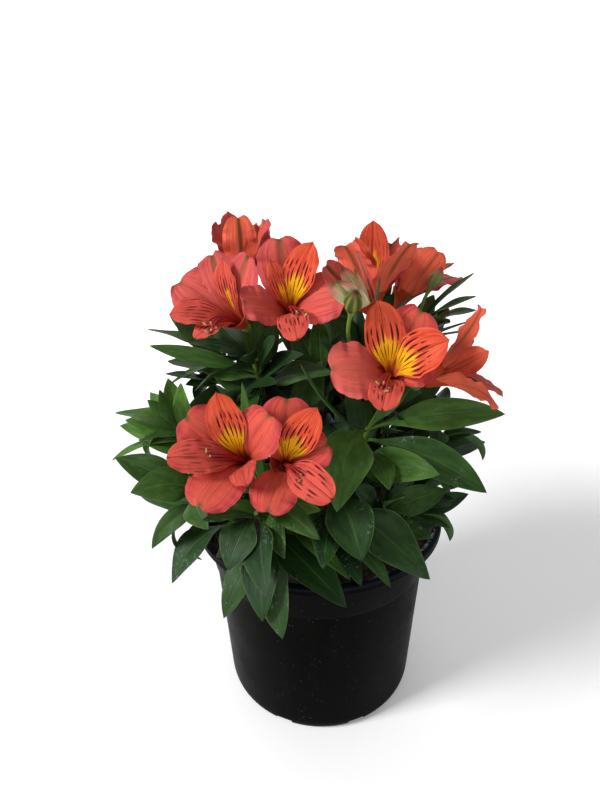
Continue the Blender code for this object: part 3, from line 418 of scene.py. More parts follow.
plastic.colour(plastic.layers(
    plastic.mix(plastic.ramp(grime, 0.35, 0.7), srgb(2, 2, 2), srgb(6, 6, 5)),
    (plastic.ramp(streaks, 0.55, 0.75) * 0.25, srgb(14, 13, 10)),
    # painted highlight on the rim's top edge, bluish
    (rim_top_highlight * 0.4, srgb(42, 50, 62)),
    (dust * 0.34, srgb(96, 106, 118)),
    (lime * 0.85, srgb(168, 174, 176)),
))
plastic.rough(plastic.ramp(grime, 0.2, 0.8, 0.34, 0.52) + lime * 0.3)
plastic.bump(plastic.noise(at, 900.0, 2.0), 0.05 * MM)

pot_faces = grid_faces(len(pot_profile), POT_TURN, closed=True)
pot = mesh_piece("nursery_pot", pot_points, pot_faces, plastic, sharp=50)
past_rim = np.arange(len(pot_profile)) > np.argmax(pot_profile[:, 1])
is_inside = past_rim & (pot_profile[:, 0] < RIM_RADIUS - 0.5 * RIM_WIDTH)
store(pot, "pot_side", np.repeat(is_inside, 3 * POT_TURN))
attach(pot, "root")
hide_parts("pot")


# Soil.
# Peat potting mix, filled to a good two centimetres under the rim: dark crumbs and bark with a few
# pale grains of perlite, and a lumpy top whose lumps fade out at the wall.
SOIL_LUMP = 1.4 * MM
SOIL_CRUMB = 0.66 * MM
SOIL_GAP = 0.4 * MM
SOIL_TURN = 240
SOIL_RINGS = 90
GRAINS = 90
GRAIN_SEED = 7
GRAIN_ROWS = 6
GRAIN_COLUMNS = 8


def pot_inside_radius(height):
    """Radius of the pot's inner wall at a height, on straight lines between its profile's corners."""
    wall = np.array([corner[:2] for corner in pot_corners[1:6]])
    return np.interp(height, wall[:, 1], wall[:, 0])


def soil_height(x, y):
    """Broad lumps from slow sines that fade at the wall, and crumbs from quick ones."""
    from_middle = np.hypot(x, y) / pot_inside_radius(SOIL_TOP)
    waves = np.sin(x / (9 * MM) + 1.3) * np.sin(y / (11 * MM) + 0.4) + 0.6 * np.sin((x + y) / (6 * MM))
    crumbs = (np.sin(x / (1.7 * MM) + 3 * np.sin(y / (2.9 * MM)))
              * np.sin(y / (1.9 * MM) + 3 * np.sin(x / (2.3 * MM)))
              + 0.6 * np.sin(x / (0.9 * MM) + 2 * np.sin(y / (1.3 * MM))))
    return (SOIL_LUMP * waves + SOIL_CRUMB * crumbs) * np.clip(1.0 - from_middle**4, 0.0, 1.0)


def ball_points(rows, columns):
    """A unit ball: rows from pole to pole, a ring of columns in each."""
    fall = np.linspace(0.02, math.pi - 0.02, rows)[:, None]
    turn = np.arange(columns)[None, :] * math.tau / columns
    return stacked(np.sin(fall) * np.cos(turn), np.sin(fall) * np.sin(turn), np.cos(fall))


soil_heights = (FLOOR + SOIL_GAP, COLLAR_END - 2 * MM, SOIL_TOP)
soil_side = [(pot_inside_radius(height) - SOIL_GAP, height) for height in soil_heights]
soil_radius = soil_side[-1][0]
soil_top = [(share * soil_radius, SOIL_TOP) for share in np.linspace(1.0, 0.0, SOIL_RINGS)[1:-1]]
soil_profile = np.array([(POLE, soil_side[0][1]), *soil_side, *soil_top, (POLE, SOIL_TOP)])
soil_points = turned_surface(soil_profile, SOIL_TURN)
upper = soil_profile[:, 1] > SOIL_TOP - 0.01 * MM
soil_points[upper, :, 2] += soil_height(soil_points[upper, :, 0], soil_points[upper, :, 1])

peat = Finish("potting_soil", Roughness=0.95)
at = peat.place()
crumb = peat.noise(at, 420.0, 6.0, 0.7)
bark = peat.ramp(peat.noise(at, 90.0), 0.45, 0.7)
peat.colour(peat.layers(srgb(26, 20, 15), (crumb, srgb(74, 57, 42)), (bark * 0.6, srgb(96, 72, 50))))
peat.bump(crumb, 1.2 * MM)
soil_faces = grid_faces(len(soil_profile), SOIL_TURN, closed=True)
soil = mesh_piece("soil_top", soil_points, soil_faces, peat)
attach(soil, "root")
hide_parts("soil")

draw = np.random.default_rng(GRAIN_SEED)
where = draw.uniform(0.1, 0.93, GRAINS) ** 0.5 * soil_radius
turn = draw.uniform(0, math.tau, GRAINS)
grain_x, grain_y = where * np.cos(turn), where * np.sin(turn)
grain_z = SOIL_TOP + soil_height(grain_x, grain_y) + 0.2 * MM
sizes = draw.uniform(0.7, 1.5, (GRAINS, 1, 1, 3)) * MM * (1, 1, 0.8)
grain_points = (ball_points(GRAIN_ROWS, GRAIN_COLUMNS)[None] * sizes
                + stacked(grain_x, grain_y, grain_z)[:, None, None])
ball_faces = grid_faces(GRAIN_ROWS, GRAIN_COLUMNS, closed=True)[:, ::-1]
starts = np.arange(GRAINS) * GRAIN_ROWS * GRAIN_COLUMNS
grain_faces = (ball_faces[None] + starts[:, None, None]).reshape(-1, 4)
perlite = mottled("perlite", 700.0, srgb(150, 145, 132), srgb(205, 200, 188), Roughness=0.9)
grains = mesh_piece("soil_grains", grain_points, grain_faces, perlite)
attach(grains, "root")


# Stems.
# Smooth green stalks that stand in the soil and end in an umbel of thinner ones. Each of these
# widens into a six-ribbed ovary right under its bloom, or carries a closed, pointed bud.
STEM_RADIUS = 2.0 * MM
STEM_TOP_RADIUS = 1.5 * MM
STEM_START = 3 * MM             # above the soil's level, where a stem starts to lean
STEM_FOOT = 25 * MM             # how far a stem reaches down into the soil here
STEM_POINTS = 20
PEDICEL_RADIUS = 1.15 * MM
PEDICEL_ROOT = 0.97             # height on the stem at which the pedicels start
PEDICEL_POINTS = 14
OVARY_RADIUS = 2.9 * MM
OVARY_LENGTH = 7 * MM
OVARY_POINTS = 12
OVARY_RIB = 0.10
STALK_GAP = 0.3 * MM            # between an ovary and its bloom
RIBS = 6
TUBE_COLUMNS = 18

# Foot in the soil (x, y), then the top (x, y, z), in millimetres.
STEMS = {
    "stem_right": ((20, -26), (31, -42, 232)),
    "stem_left": ((-24, -4), (-43, -12, 270)),
    "stem_middle": ((16, 8), (32, 0, 271)),
    "stem_front": ((-16, -40), (-34, -64, 196)),
    "stem_budding": ((38, 22), (70, 14, 288)),
    "shoot_left": ((-52, -8), (-94, -18, 219)),
    "shoot_left_low": ((-48, -30), (-86, -40, 183)),
    "shoot_front": ((2, -50), (10, -66, 204)),
    "shoot_front_right": ((28, -46), (40, -60, 184)),
    "shoot_right": ((50, -8), (77, -12, 204)),
    "shoot_right_low": ((46, -28), (66, -42, 172)),
    "shoot_left_high": ((-38, 16), (-68, 14, 263)),
    "shoot_front_left": ((-24, -50), (-38, -73, 190)),
    "shoot_centre": ((-4, -18), (-10, -26, 226)),
    "shoot_back_right": ((50, 24), (84, 40, 222)),
    "shoot_back": ((6, 36), (12, 52, 262)),
    "shoot_back_left": ((-30, 44), (-52, 70, 236)),
    "shoot_back_low": ((26, 52), (42, 86, 204)),
    "shoot_left_back": ((-56, 18), (-96, 34, 208)),
    "shoot_middle": ((0, -6), (2, -12, 250)),
    "shoot_inner_left": ((-38, -4), (-60, -6, 240)),
    "shoot_inner_right": ((32, -2), (54, -8, 234)),
}

# Blooms: stem, foot of the funnel (x, y, z), heading, roll in degrees, and the tepals that differ
# from the plain bloom: number -> (angle, flare, length share, width share). Tepals 0 to 2 are the
# outer ones from the top, 3 and 4 the upper inner ones, 5 the lower one.
BLOOMS = {
    "bloom_right": ("stem_right", (43, -44, 264), (-0.10, -0.74, 0.66), -14, {
        0: (76, 84, 1.0, 1.0), 1: (206, 86, 0.98, 1.2), 2: (20, 98, 0.68, 0.7),
        3: (30, 74, 0.98, 1.25), 4: (119, 72, 1.0, 1.1), 5: (278, 84, 1.0, 1.05)}),
    "bloom_right_side": ("stem_right", (65, -30, 257), (0.90, -0.05, 0.43), 0, {
        0: (88, 48, 1.16, 0.8), 4: (148, 34, 0.8, 0.8), 5: (275, 70, 1.1, 0.9)}),
    "bloom_left": ("stem_left", (-16, -22, 299), (-0.06, -0.78, 0.60), 33, {
        0: (66, 76, 1.0, 0.95), 1: (163, 62, 0.84, 0.88), 2: (328, 92, 0.94, 1.0),
        3: (26, 70, 0.96, 0.95), 4: (84, 50, 0.75, 0.6), 5: (254, 84, 1.0, 1.0)}),
    "bloom_left_outer": ("stem_left", (-47, -11, 290), (-0.38, -0.68, 0.63), 0, {
        0: (118, 88, 1.0, 0.75), 1: (164, 84, 1.0, 1.1), 2: (66, 78, 1.0, 0.84),
        3: (92, 62, 0.85, 0.7), 4: (208, 80, 0.9, 1.0), 5: (254, 80, 0.85, 0.9)}),
    "bloom_left_top": ("stem_left", (-48, 10, 306), (-0.02, 0.12, 1.0), 0, {
        0: (272, 12, 1.0, 0.7), 1: (150, 26, 0.96, 0.8), 2: (25, 20, 0.98, 0.85),
        3: (128, 24, 0.96, 1.0), 4: (330, 22, 0.8, 0.8), 5: (210, 22, 0.8, 0.8)}),
    "bloom_back": ("stem_middle", (36, 2, 294), (0.02, 0.10, 1.0), 8, {
        0: (52, 45, 1.0, 1.0), 1: (208, 46, 1.0, 1.0), 2: (306, 50, 1.05, 1.1),
        3: (84, 26, 1.06, 1.0), 4: (215, 36, 0.9, 0.8), 5: (324, 36, 0.9, 0.8)}),
    "bloom_back_far": ("stem_middle", (52, 27, 289), (0.52, 0.25, 0.82), 0, {
        0: (30, 40, 1.0, 0.9), 1: (262, 60, 1.1, 0.8), 2: (160, 30, 1.0, 0.8),
        3: (330, 40, 1.0, 1.0), 4: (215, 40, 0.9, 0.8), 5: (95, 30, 0.9, 0.8)}),
    "bloom_low_left": ("stem_front", (-43, -68, 222), (-0.10, -0.76, 0.62), -79, {
        0: (124, 60, 1.0, 0.9), 1: (227, 86, 1.0, 1.0), 2: (324, 86, 1.0, 1.0),
        3: (19, 60, 0.72, 0.8), 4: (187, 72, 1.0, 1.0), 5: (270, 84, 1.15, 1.1)}),
    "bloom_low_middle": ("stem_front", (-20, -68, 220), (0.03, -0.81, 0.59), 48, {
        0: (37, 80, 1.0, 1.0), 1: (205, 84, 0.88, 0.86), 2: (330, 76, 0.8, 0.8),
        3: (5, 72, 1.0, 1.0), 4: (59, 66, 0.72, 0.8), 5: (270, 84, 1.15, 1.1)}),
    "bloom_half_open": ("stem_middle", (32, -44, 306), (-0.52, -0.42, 0.74), 0, {
        0: (60, 8, 0.84, 0.5), 1: (180, 12, 0.80, 0.5), 2: (300, 8, 0.82, 0.5),
        3: (32, 6, 0.60, 0.4), 4: (148, 6, 0.60, 0.4), 5: (262, 6, 0.60, 0.4)}),
}

# Closed green buds: stem, middle of the bud (x, y, z), heading of the bud, length and radius.
BUDS = [
    ("stem_middle", (19, -67, 318), (0.1, -0.6, 0.8), 15, 4.8),
    ("stem_budding", (78, 14, 314), (0.45, 0.0, 0.9), 14, 4.2),
    ("stem_budding", (83, 6, 292), (0.6, -0.3, 0.7), 9, 3.0),
]


def unit(vectors):
    """Each vector divided by its length."""
    vectors = np.asarray(vectors, float)
    return vectors / np.linalg.norm(vectors, axis=-1, keepdims=True)


def bezier(start, middle, end, share):
    """A curve from start to end that is pulled towards middle: each point's weights are squares."""
    share = np.asarray(share, float)[..., None]
    return (1 - share) ** 2 * start + 2 * share * (1 - share) * middle + share**2 * end


def stem_point(name, share):
    """A point of a stem: straight up out of the soil, then leaning to its top."""
    foot, top = STEMS[name]
    start = np.array([foot[0] * MM, foot[1] * MM, SOIL_TOP + STEM_START])
    end = np.array(top) * MM
    return bezier(start, np.array([start[0], start[1], 0.55 * start[2] + 0.45 * end[2]]), end, share)


def skin(rings, first, last):
    """Points and triangles of a closed skin: rings of points from a first pole to a last one."""
    rows, columns = rings.shape[:2]
    quads = grid_faces(rows, columns, closed=True)
    index = np.arange(columns)
    after = np.roll(index, -1)
    far = (rows - 1) * columns
    foot = np.stack([after, index, np.full(columns, rows * columns)], axis=-1)
    top = np.stack([index + far, after + far, np.full(columns, rows * columns + 1)], axis=-1)
    points = np.concatenate([rings.reshape(-1, 3), [first], [last]])
    return points, np.concatenate([quads[:, [0, 1, 2]], quads[:, [0, 2, 3]], foot, top])


def tube(path, radii, ribs=0.0, columns=TUBE_COLUMNS):
    """Rings round a path: at each point, the radius times one plus ribs times a six-fold cosine.

    Each ring starts at the side of the one before it, made square to the path again.
    """
    way = unit(np.gradient(path, axis=0))
    side = np.cross(way[0], (0.31, 0.87, 0.23))
    sides = []
    for tangent in way:
        side = unit(side - np.dot(side, tangent) * tangent)
        sides.append(side)
    sides = np.array(sides)
    turn = np.arange(columns) * math.tau / columns
    radius = np.reshape(radii, (-1, 1)) * (1.0 + np.reshape(ribs, (-1, 1)) * np.cos(RIBS * turn))
    round_way = (np.cos(turn)[None, :, None] * sides[:, None]
                 + np.sin(turn)[None, :, None] * np.cross(way, sides)[:, None])
    return skin(path[:, None] + radius[..., None] * round_way, path[0], path[-1])


def joined(parts):
    """The points and faces of several parts, and a last array that says which part a point is of."""
    counts = [len(points) for points, faces in parts]
    starts = np.cumsum([0] + counts[:-1])
    all_points = np.concatenate([points for points, faces in parts])
    all_faces = np.concatenate([faces + start for (points, faces), start in zip(parts, starts)])
    return all_points, all_faces, np.repeat(np.arange(len(parts)), counts)


def stalk_to(stem, neck, heading, pull):
    """From near the stem's top to the neck, along its heading there; pull is how much of the way bends."""
    root = stem_point(stem, PEDICEL_ROOT)
    bent = neck - pull * np.linalg.norm(neck - root) * heading
    return bezier(root, bent, neck, np.linspace(0.0, 1.0, PEDICEL_POINTS))


def pedicel(stem, foot, heading):
    """From the stem's top to the ovary, which swells under the bloom and carries six ribs."""
    heading = unit(heading)
    neck = np.array(foot) * MM - STALK_GAP * heading - OVARY_LENGTH * heading
    along = np.linspace(0.0, 1.0, OVARY_POINTS)[1:]
    ovary = neck + along[:, None] * OVARY_LENGTH * heading
    path = np.concatenate([stalk_to(stem, neck, heading, 0.5), ovary])
    swell = PEDICEL_RADIUS + (OVARY_RADIUS - PEDICEL_RADIUS) * np.sin(math.pi * along**0.8) ** 0.7
    swell = np.maximum(swell, 0.80 * OVARY_RADIUS * smooth_step(along / 0.5))
    radii = np.concatenate([np.full(PEDICEL_POINTS, PEDICEL_RADIUS), swell])
    ribs = np.concatenate([np.zeros(PEDICEL_POINTS), OVARY_RIB * np.sin(math.pi * along) ** 0.5])
    return tube(path, radii, ribs)


def bud_stalk(stem, middle, heading, length, radius):
    """From the stem's top into the foot of a bud, a little narrower there than the bud."""
    heading = unit(heading)
    foot = np.array(middle) * MM - 0.5 * length * MM * heading
    path = np.concatenate([stalk_to(stem, foot - 0.7 * OVARY_LENGTH * heading, heading, 0.45), [foot]])
    return tube(path, np.append(np.full(PEDICEL_POINTS, PEDICEL_RADIUS), 0.56 * radius * MM))


def stalks_of(name):
    """The stem, and the stalks of its blooms and buds."""
    path = stem_point(name, np.linspace(0.0, 1.0, STEM_POINTS))
    path = np.concatenate([[path[0] - np.array([0.0, 0.0, STEM_FOOT + STEM_START])], path])
    radii = np.interp(np.linspace(-0.05, 1.0, len(path)), [0.0, 1.0], [STEM_RADIUS, STEM_TOP_RADIUS])
    blooms = [pedicel(*bloom[:3]) for bloom in BLOOMS.values() if bloom[0] == name]
    return [tube(path, radii), *blooms, *[bud_stalk(*bud) for bud in BUDS if bud[0] == name]]


stalk_green = Finish("green_stalk", Roughness=0.42, Specular_IOR_Level=0.15)
at = stalk_green.place()
fine = stalk_green.grain(at, (700.0, 700.0, 60.0))
high = stalk_green.ramp(stalk_green.split(at)[2], 200 * MM, 270 * MM)
stalk_green.colour(stalk_green.layers(
    srgb(52, 78, 28),
    (high, srgb(104, 132, 52)),
    (stalk_green.noise(at, 30.0) * 0.5, srgb(84, 106, 44)),
    (stalk_green.ramp(fine, 0.4, 0.7) * 0.4, srgb(112, 128, 64)),
))
stalk_green.bump(fine, 0.1 * MM)
for stem in STEMS:
    points, faces, _ = joined(stalks_of(stem))
    stalks = mesh_piece(f"{stem}_stalks", points, faces, stalk_green, sharp=60)
    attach(stalks, "root")
    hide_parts(stem)


# Buds.
# Closed blooms: six green-backed tepals pressed together into a ribbed, pointed egg, olive with
# paler seams. The riper ones have paled, with a red tip.
BUD_ROWS = 26
BUD_COLUMNS = 36
BUD_RIB = 0.10
BUD_OUTLINE = ((0.0, 0.08, 0.32, 0.55, 0.78, 0.93, 1.0), (0.55, 0.72, 1.0, 0.95, 0.70, 0.38, 0.10))
BUD_RIPENESS = (0.0, 0.9, 0.4)  # how far each bud has paled

bud_olive = Finish("bud_skin", Roughness=0.5, Specular_IOR_Level=0.15)
across, along, ripe = bud_olive.stored("bud")
seam = (across * (RIBS * math.pi)).maths("COSINE")
fine = bud_olive.noise(bud_olive.vector(across * 60.0, along * 4.0, 0.0), 1.0)
bud_olive.colour(bud_olive.layers(
    srgb(58, 68, 24),
    (bud_olive.ramp(seam, -0.3, 0.8), srgb(106, 114, 44)),
    (bud_olive.ramp(fine, 0.45, 0.7) * 0.4, srgb(60, 66, 28)),
    (bud_olive.ramp(along, 0.72, 0.97), srgb(92, 70, 36)),
    (ripe * 0.6, srgb(146, 150, 98)),
    (bud_olive.ramp(along, 0.58, 0.90) * ripe, srgb(156, 62, 56)),
    (bud_olive.ramp(along, 0.9, 1.0), srgb(56, 44, 26)),
))
bud_olive.bump(fine, 0.15 * MM)
share = np.linspace(0.0, 1.0, BUD_ROWS)
for number, (stem, middle, heading, length, radius) in enumerate(BUDS):
    path = (np.array(middle) + (share[:, None] - 0.5) * length * unit(heading)) * MM
    swell = np.interp(share, *BUD_OUTLINE)
    points, faces = tube(path, radius * MM * swell, BUD_RIB * np.sin(math.pi * share) ** 0.5, BUD_COLUMNS)
    bud = mesh_piece(f"bud_{number}", points, faces, bud_olive)
    ring = np.tile(np.arange(BUD_COLUMNS) * 2 / BUD_COLUMNS, BUD_ROWS)
    rows = np.repeat(share, BUD_COLUMNS)
    store(bud, "bud", stacked(np.append(ring, (0, 0)), np.append(rows, (0, 1)), BUD_RIPENESS[number]))
    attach(bud, "root")
    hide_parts(stem)


# Leaves.
# Lance-shaped blades, thin and soft, that twist over at the stalk: satin green with fine parallel
# veins, a paler midrib and a thin pale edge. Hard water has left grey spots on the lowest ones.
SEED = 41
LEAF_NECK = 0.10                # where along the leaf the stalk widens
LEAF_PEAK = 0.55                # where it is widest
LEAF_POINT = 0.9                # power with which it then narrows to its point
LEAF_STALK = 1.1 * MM
LEAF_THICKNESS = 0.8 * MM
LEAF_FOLD = 0.26                # how steeply the halves rise from the midrib
TRIALS = 60
TRIAL_STEP = 0.7 * MM           # how much further each trial moves the tip
TIP_MATCH = 0.1 * MM            # how near a trial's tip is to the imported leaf's tip
LEAF_ROWS = 30
LEAF_COLUMNS = 13
LEAF_VEINS = 9                  # on each half of a blade
YOUNG_HEIGHT = 220 * MM         # a leaf with its tip above this is younger, and a brighter green
LOW_HEIGHT = 200 * MM           # a front leaf with its tip under this is spotted
LOW_FRONT = -60 * MM
UP = np.array([0.0, 0.0, 1.0])

# Leaves listed one by one: height on the stem from 0 at the soil to 1 at the top, tip (x, y, z),
# width in millimetres, lift and sideways bow in shares of the length, and roll in degrees.
LEAVES = {
    "stem_right": [
        (0.98, (10, -96, 206), 30, 0.34, 0.26, 0),
        (0.92, (103, -62, 197), 23, 0.22, 0.0, -32),
        (0.99, (117, -36, 238), 20, 0.20, 0.0, -35),
        (0.84, (40, -86, 214), 18, 0.20, 0.0, -10),
        (0.95, (-10, -54, 279), 12, -0.20, 0.0, -30),
    ],
    "stem_left": [
        (0.93, (-75, -44, 258), 20, 0.26, 0.0, -20),
        (0.88, (-25, -36, 290), 18, 0.12, 0.0, -25),
        (0.96, (-43, -34, 278), 13, 0.10, 0.0, 10),
        (0.80, (-40, -56, 246), 19, 0.28, 0.0, 0),
        (0.84, (10, -36, 266), 21, 0.20, 0.0, 0),
        (0.72, (-80, 14, 262), 18, 0.20, 0.0, 0),
    ],
    "stem_middle": [
        (0.95, (4, -26, 299), 20, 0.14, 0.0, 35),
        (0.98, (38, -16, 321), 8, 0.02, 0.0, 0),
        (0.90, (52, 42, 330), 13, 0.06, 0.0, 0),
        (0.80, (24, 44, 284), 20, 0.2, 0.0, 0),
    ],
    "stem_front": [
        (0.96, (1, -108, 196), 16, 0.26, 0.0, 0),
        (0.90, (-16, -110, 203), 14, 0.28, 0.0, 0),
        (0.82, (-21, -104, 188), 18, 0.34, 0.0, -15),
        (0.94, (-46, -70, 268), 11, 0.06, 0.0, 0),
        (0.66, (-62, -92, 190), 15, 0.24, 0.0, 0),
        (0.74, (18, -106, 167), 13, 0.30, 0.0, 30),
    ],
    "stem_budding": [
        (0.98, (101, 8, 318), 10, 0.08, 0.0, -10),
        (0.93, (104, 5, 294), 19, 0.16, 0.0, -28),
        (0.84, (99, -8, 285), 15, 0.18, 0.0, -20),
        (0.95, (80, 44, 328), 12, 0.08, 0.0, 0),
        (0.88, (92, 52, 280), 20, 0.2, 0.0, 0),
    ],
    "shoot_left": [
        (0.96, (-134, -24, 235), 20, 0.18, 0.0, 15),
        (0.88, (-143, -20, 197), 10, 0.28, 0.0, 0),
        (1.0, (-99, -36, 256), 11, 0.12, 0.0, 0),
        (0.98, (-109, -36, 241), 12, 0.20, 0.0, 0),
        (0.92, (-58, -46, 250), 8, 0.16, 0.0, 0),
        (0.94, (-117, 2, 239), 14, 0.12, 0.0, 0),
        (0.80, (-122, 14, 222), 20, 0.22, 0.0, 0),
        (0.72, (-70, -64, 214), 22, 0.20, 0.0, 0),
    ],
    "shoot_left_low": [
        (0.98, (-133, -38, 209), 21, 0.20, 0.0, 20),
        (0.88, (-120, -48, 182), 24, 0.26, 0.0, 10),
        (0.78, (-111, -56, 150), 14, 0.42, 0.0, 40),
        (0.50, (-98, -64, 128), 24, 0.40, 0.0, 0),
        (0.93, (-64, -86, 184), 20, 0.24, 0.0, 0),
        (0.56, (-130, -10, 162), 20, 0.30, 0.0, 0),
    ],
    "shoot_front": [
        (0.98, (24, -104, 179), 28, 0.28, 0.0, 0),
        (0.84, (66, -92, 156), 30, 0.26, 0.0, 5),
        (0.66, (41, -106, 162), 18, 0.30, 0.0, 20),
        (0.76, (2, -110, 178), 19, 0.24, 0.0, 0),
        (0.54, (25, -98, 156), 18, 0.34, 0.0, 0),
    ],
    "shoot_front_right": [
        (0.98, (50, -80, 206), 12, 0.10, 0.0, -30),
        (0.90, (81, -52, 193), 18, 0.16, 0.0, -18),
        (0.76, (60, -84, 173), 18, 0.26, 0.0, 0),
        (0.60, (69, -74, 173), 18, 0.30, 0.0, 0),
    ],
    "shoot_right": [
        (0.99, (111, -12, 214), 14, 0.20, 0.0, 0),
        (0.92, (101, -20, 191), 12, 0.44, 0.0, 30),
        (0.82, (96, -28, 183), 14, 0.34, 0.0, 20),
        (0.74, (122, 12, 196), 17, 0.28, 0.0, 0),
        (0.96, (74, -44, 232), 16, 0.16, 0.0, 0),
    ],
    "shoot_right_low": [
        (0.97, (92, -24, 167), 13, 0.36, 0.0, 10),
        (0.84, (92, -34, 152), 15, 0.30, 0.0, 0),
        (0.91, (87, -52, 186), 15, 0.24, 0.0, 0),
        (0.70, (60, -76, 182), 18, 0.20, 0.0, 0),
    ],
    "shoot_left_high": [
        (0.99, (-116, 10, 282), 14, 0.10, 0.0, 20),
        (0.96, (-111, 24, 284), 14, 0.10, 0.0, 0),
        (0.90, (-103, -6, 252), 9, 0.26, 0.0, 0),
        (0.94, (-89, -17, 286), 14, 0.14, 0.0, -40),
        (0.80, (-112, 36, 250), 20, 0.22, 0.0, 0),
        (0.72, (-74, -34, 228), 22, 0.22, 0.0, 0),
    ],
    "shoot_front_left": [
        (0.98, (-53, -99, 168), 24, 0.26, 0.0, 0),
        (0.90, (-24, -114, 174), 24, 0.26, 0.0, 0),
        (0.66, (-33, -110, 140), 25, 0.36, 0.0, 0),
        (0.52, (-59, -94, 127), 22, 0.40, 0.0, 0),
        (0.44, (-29, -114, 129), 26, 0.42, 0.0, 0),
        (0.80, (8, -116, 164), 29, 0.26, 0.0, 5),
        (0.96, (-56, -92, 190), 11, 0.16, 0.0, 0),
    ],
}

# Narrow leaves near the tops of three stems, given in the same way and placed after those above.
LATE_LEAVES = [
    ("stem_left", (0.97, (-91, 8, 280), 13, 0.12, 0.0, 25)),
    ("stem_left", (0.92, (-84, -8, 281), 12, 0.10, 0.0, 15)),
    ("stem_left", (0.90, (-82, -14, 266), 12, 0.18, 0.0, 20)),
    ("shoot_left_high", (0.86, (-79, -20, 260), 11, 0.30, 0.0, 20)),
    ("stem_right", (0.99, (60, -50, 275), 10, 0.04, 0.0, 0)),
]

# Stems that get further leaves by rule: how many, and the heading of the first in degrees.
FILL_LEAVES = {
    "stem_right": (4, 40), "stem_left": (7, 190), "stem_middle": (5, 100), "stem_front": (2, 150),
    "stem_budding": (3, 30), "shoot_left": (2, 120), "shoot_left_low": (1, 150),
    "shoot_front": (1, 200), "shoot_front_right": (2, 10), "shoot_right": (3, 30),
    "shoot_right_low": (2, -10), "shoot_left_high": (3, 100), "shoot_front_left": (1, 230),
    "shoot_centre": (10, 20), "shoot_back_right": (5, 10), "shoot_back": (5, 80),
    "shoot_back_left": (6, 120), "shoot_back_low": (6, 60), "shoot_left_back": (5, 160),
    "shoot_middle": (8, 250), "shoot_inner_left": (7, 200), "shoot_inner_right": (8, 300),
}
FILL_SEED = 500
SEEDS_PER_STEM = 20
GOLDEN_TURN = 137.5             # degrees from each leaf to the next one up the stem
FILL_REACH = 104 * MM           # furthest that such a tip gets from the pot's axis
FILL_LOW = 166 * MM             # and the lowest

# Small inner leaves, which only this dressed model has: how many, and the heading of the first.
INNER_LEAVES = {
    "stem_left": (12, 30), "stem_middle": (11, 200), "shoot_middle": (12, 80), "shoot_inner_left": (11, 10),
    "shoot_inner_right": (9, 150), "shoot_back": (11, 260), "shoot_back_left": (10, 300),
    "shoot_left_high": (9, 330), "shoot_centre": (8, 120), "shoot_back_right": (8, 200),
    "stem_budding": (5, 160), "shoot_left_back": (8, 20), "shoot_left": (9, 30),
    "shoot_left_low": (7, 60), "shoot_right": (6, 170), "shoot_front_right": (5, 100),
}
INNER_SEED = 1500
INNER_REACH = 84 * MM
INNER_TOP = 292 * MM

# Further leaves of this model alone, given as above, that close the gaps between stems.
CLOSING_LEAVES = [
    ("shoot_left", (0.70, (-122, -22, 214), 16, 0.10, 0.0, 20)),
    ("shoot_left", (0.90, (-88, -24, 256), 15, 0.08, 0.0, -75)),
    ("shoot_left", (0.95, (-100, -10, 254), 16, 0.06, 0.0, -75)),
    ("shoot_left_high", (0.80, (-104, -2, 254), 15, 0.10, 0.0, 20)),
    ("shoot_left_high", (0.98, (-95, 2, 290), 15, 0.08, 0.0, -40)),
    ("shoot_inner_left", (0.95, (-30, 6, 296), 15, 0.06, 0.0, -75)),
    ("stem_left", (0.96, (-40, 0, 298), 14, 0.05, 0.0, -75)),
    ("stem_left", (0.90, (-26, -6, 292), 15, 0.05, 0.0, -75)),
    ("shoot_middle", (0.90, (-30, 6, 292), 15, 0.06, 0.0, -40)),
    ("shoot_middle", (0.99, (0, 0, 294), 15, 0.05, 0.0, 0)),
    ("shoot_middle", (0.98, (24, 8, 290), 15, 0.06, 0.0, 40)),
    ("stem_right", (0.80, (18, -30, 262), 15, 0.05, 0.0, 0)),
    ("stem_middle", (0.90, (22, -14, 312), 14, 0.05, 0.0, 0)),
    ("stem_middle", (0.97, (52, 22, 303), 12, 0.05, 0.0, 60)),
    ("stem_middle", (0.98, (64, 8, 308), 12, 0.05, 0.0, 60)),
    ("shoot_right_low", (0.75, (104, -22, 171), 14, 0.12, 0.0, -40)),
    ("shoot_left", (0.93, (-131, -16, 226), 16, 0.10, 0.0, 30)),
    ("shoot_left", (0.82, (-139, -6, 217), 17, 0.12, 0.0, 25)),
    ("shoot_left", (0.86, (-110, -28, 246), 14, 0.08, 0.0, -40)),
    ("stem_budding", (0.97, (100, -6, 306), 16, 0.08, 0.0, -50)),
    ("stem_budding", (0.86, (95, -14, 292), 16, 0.08, 0.0, -45)),
]
CLOSING_SEED = 1400

# Narrow leaves at the plant's edges that have curled under, also of this model alone: stem, height
# on it, heading in degrees, length and width in millimetres, degrees above level at which the leaf
# starts, degrees through which it curls, and its roll.
CURLED_LEAVES = [
    ("shoot_right", 0.99, -5, 50, 8, 45, 140, 30),
    ("shoot_right", 0.85, -12, 56, 9, 40, 215, 20),
    ("shoot_right", 0.70, -25, 54, 9, 30, 190, -25),
    ("shoot_right_low", 0.80, 0, 44, 9, 15, 110, 30),
    ("shoot_left_low", 0.80, 200, 56, 12, 10, 170, -30),
    ("shoot_left_low", 0.62, 192, 54, 8, 5, 150, 20),
    ("shoot_left", 0.98, 188, 46, 7, 30, 190, 25),
]
CURL_POWER = 1.3
CURL_POINTS = 81
CURL_TWIST = 40.0
CURL_FOLD = 0.35

# Stems whose leaves are younger than their height alone makes them, and by how much.
FRESH_STEMS = {
    "shoot_left": 1.0, "shoot_left_low": 0.25, "stem_right": 0.25, "shoot_front_right": 0.15,
    "stem_front": 0.4,
}


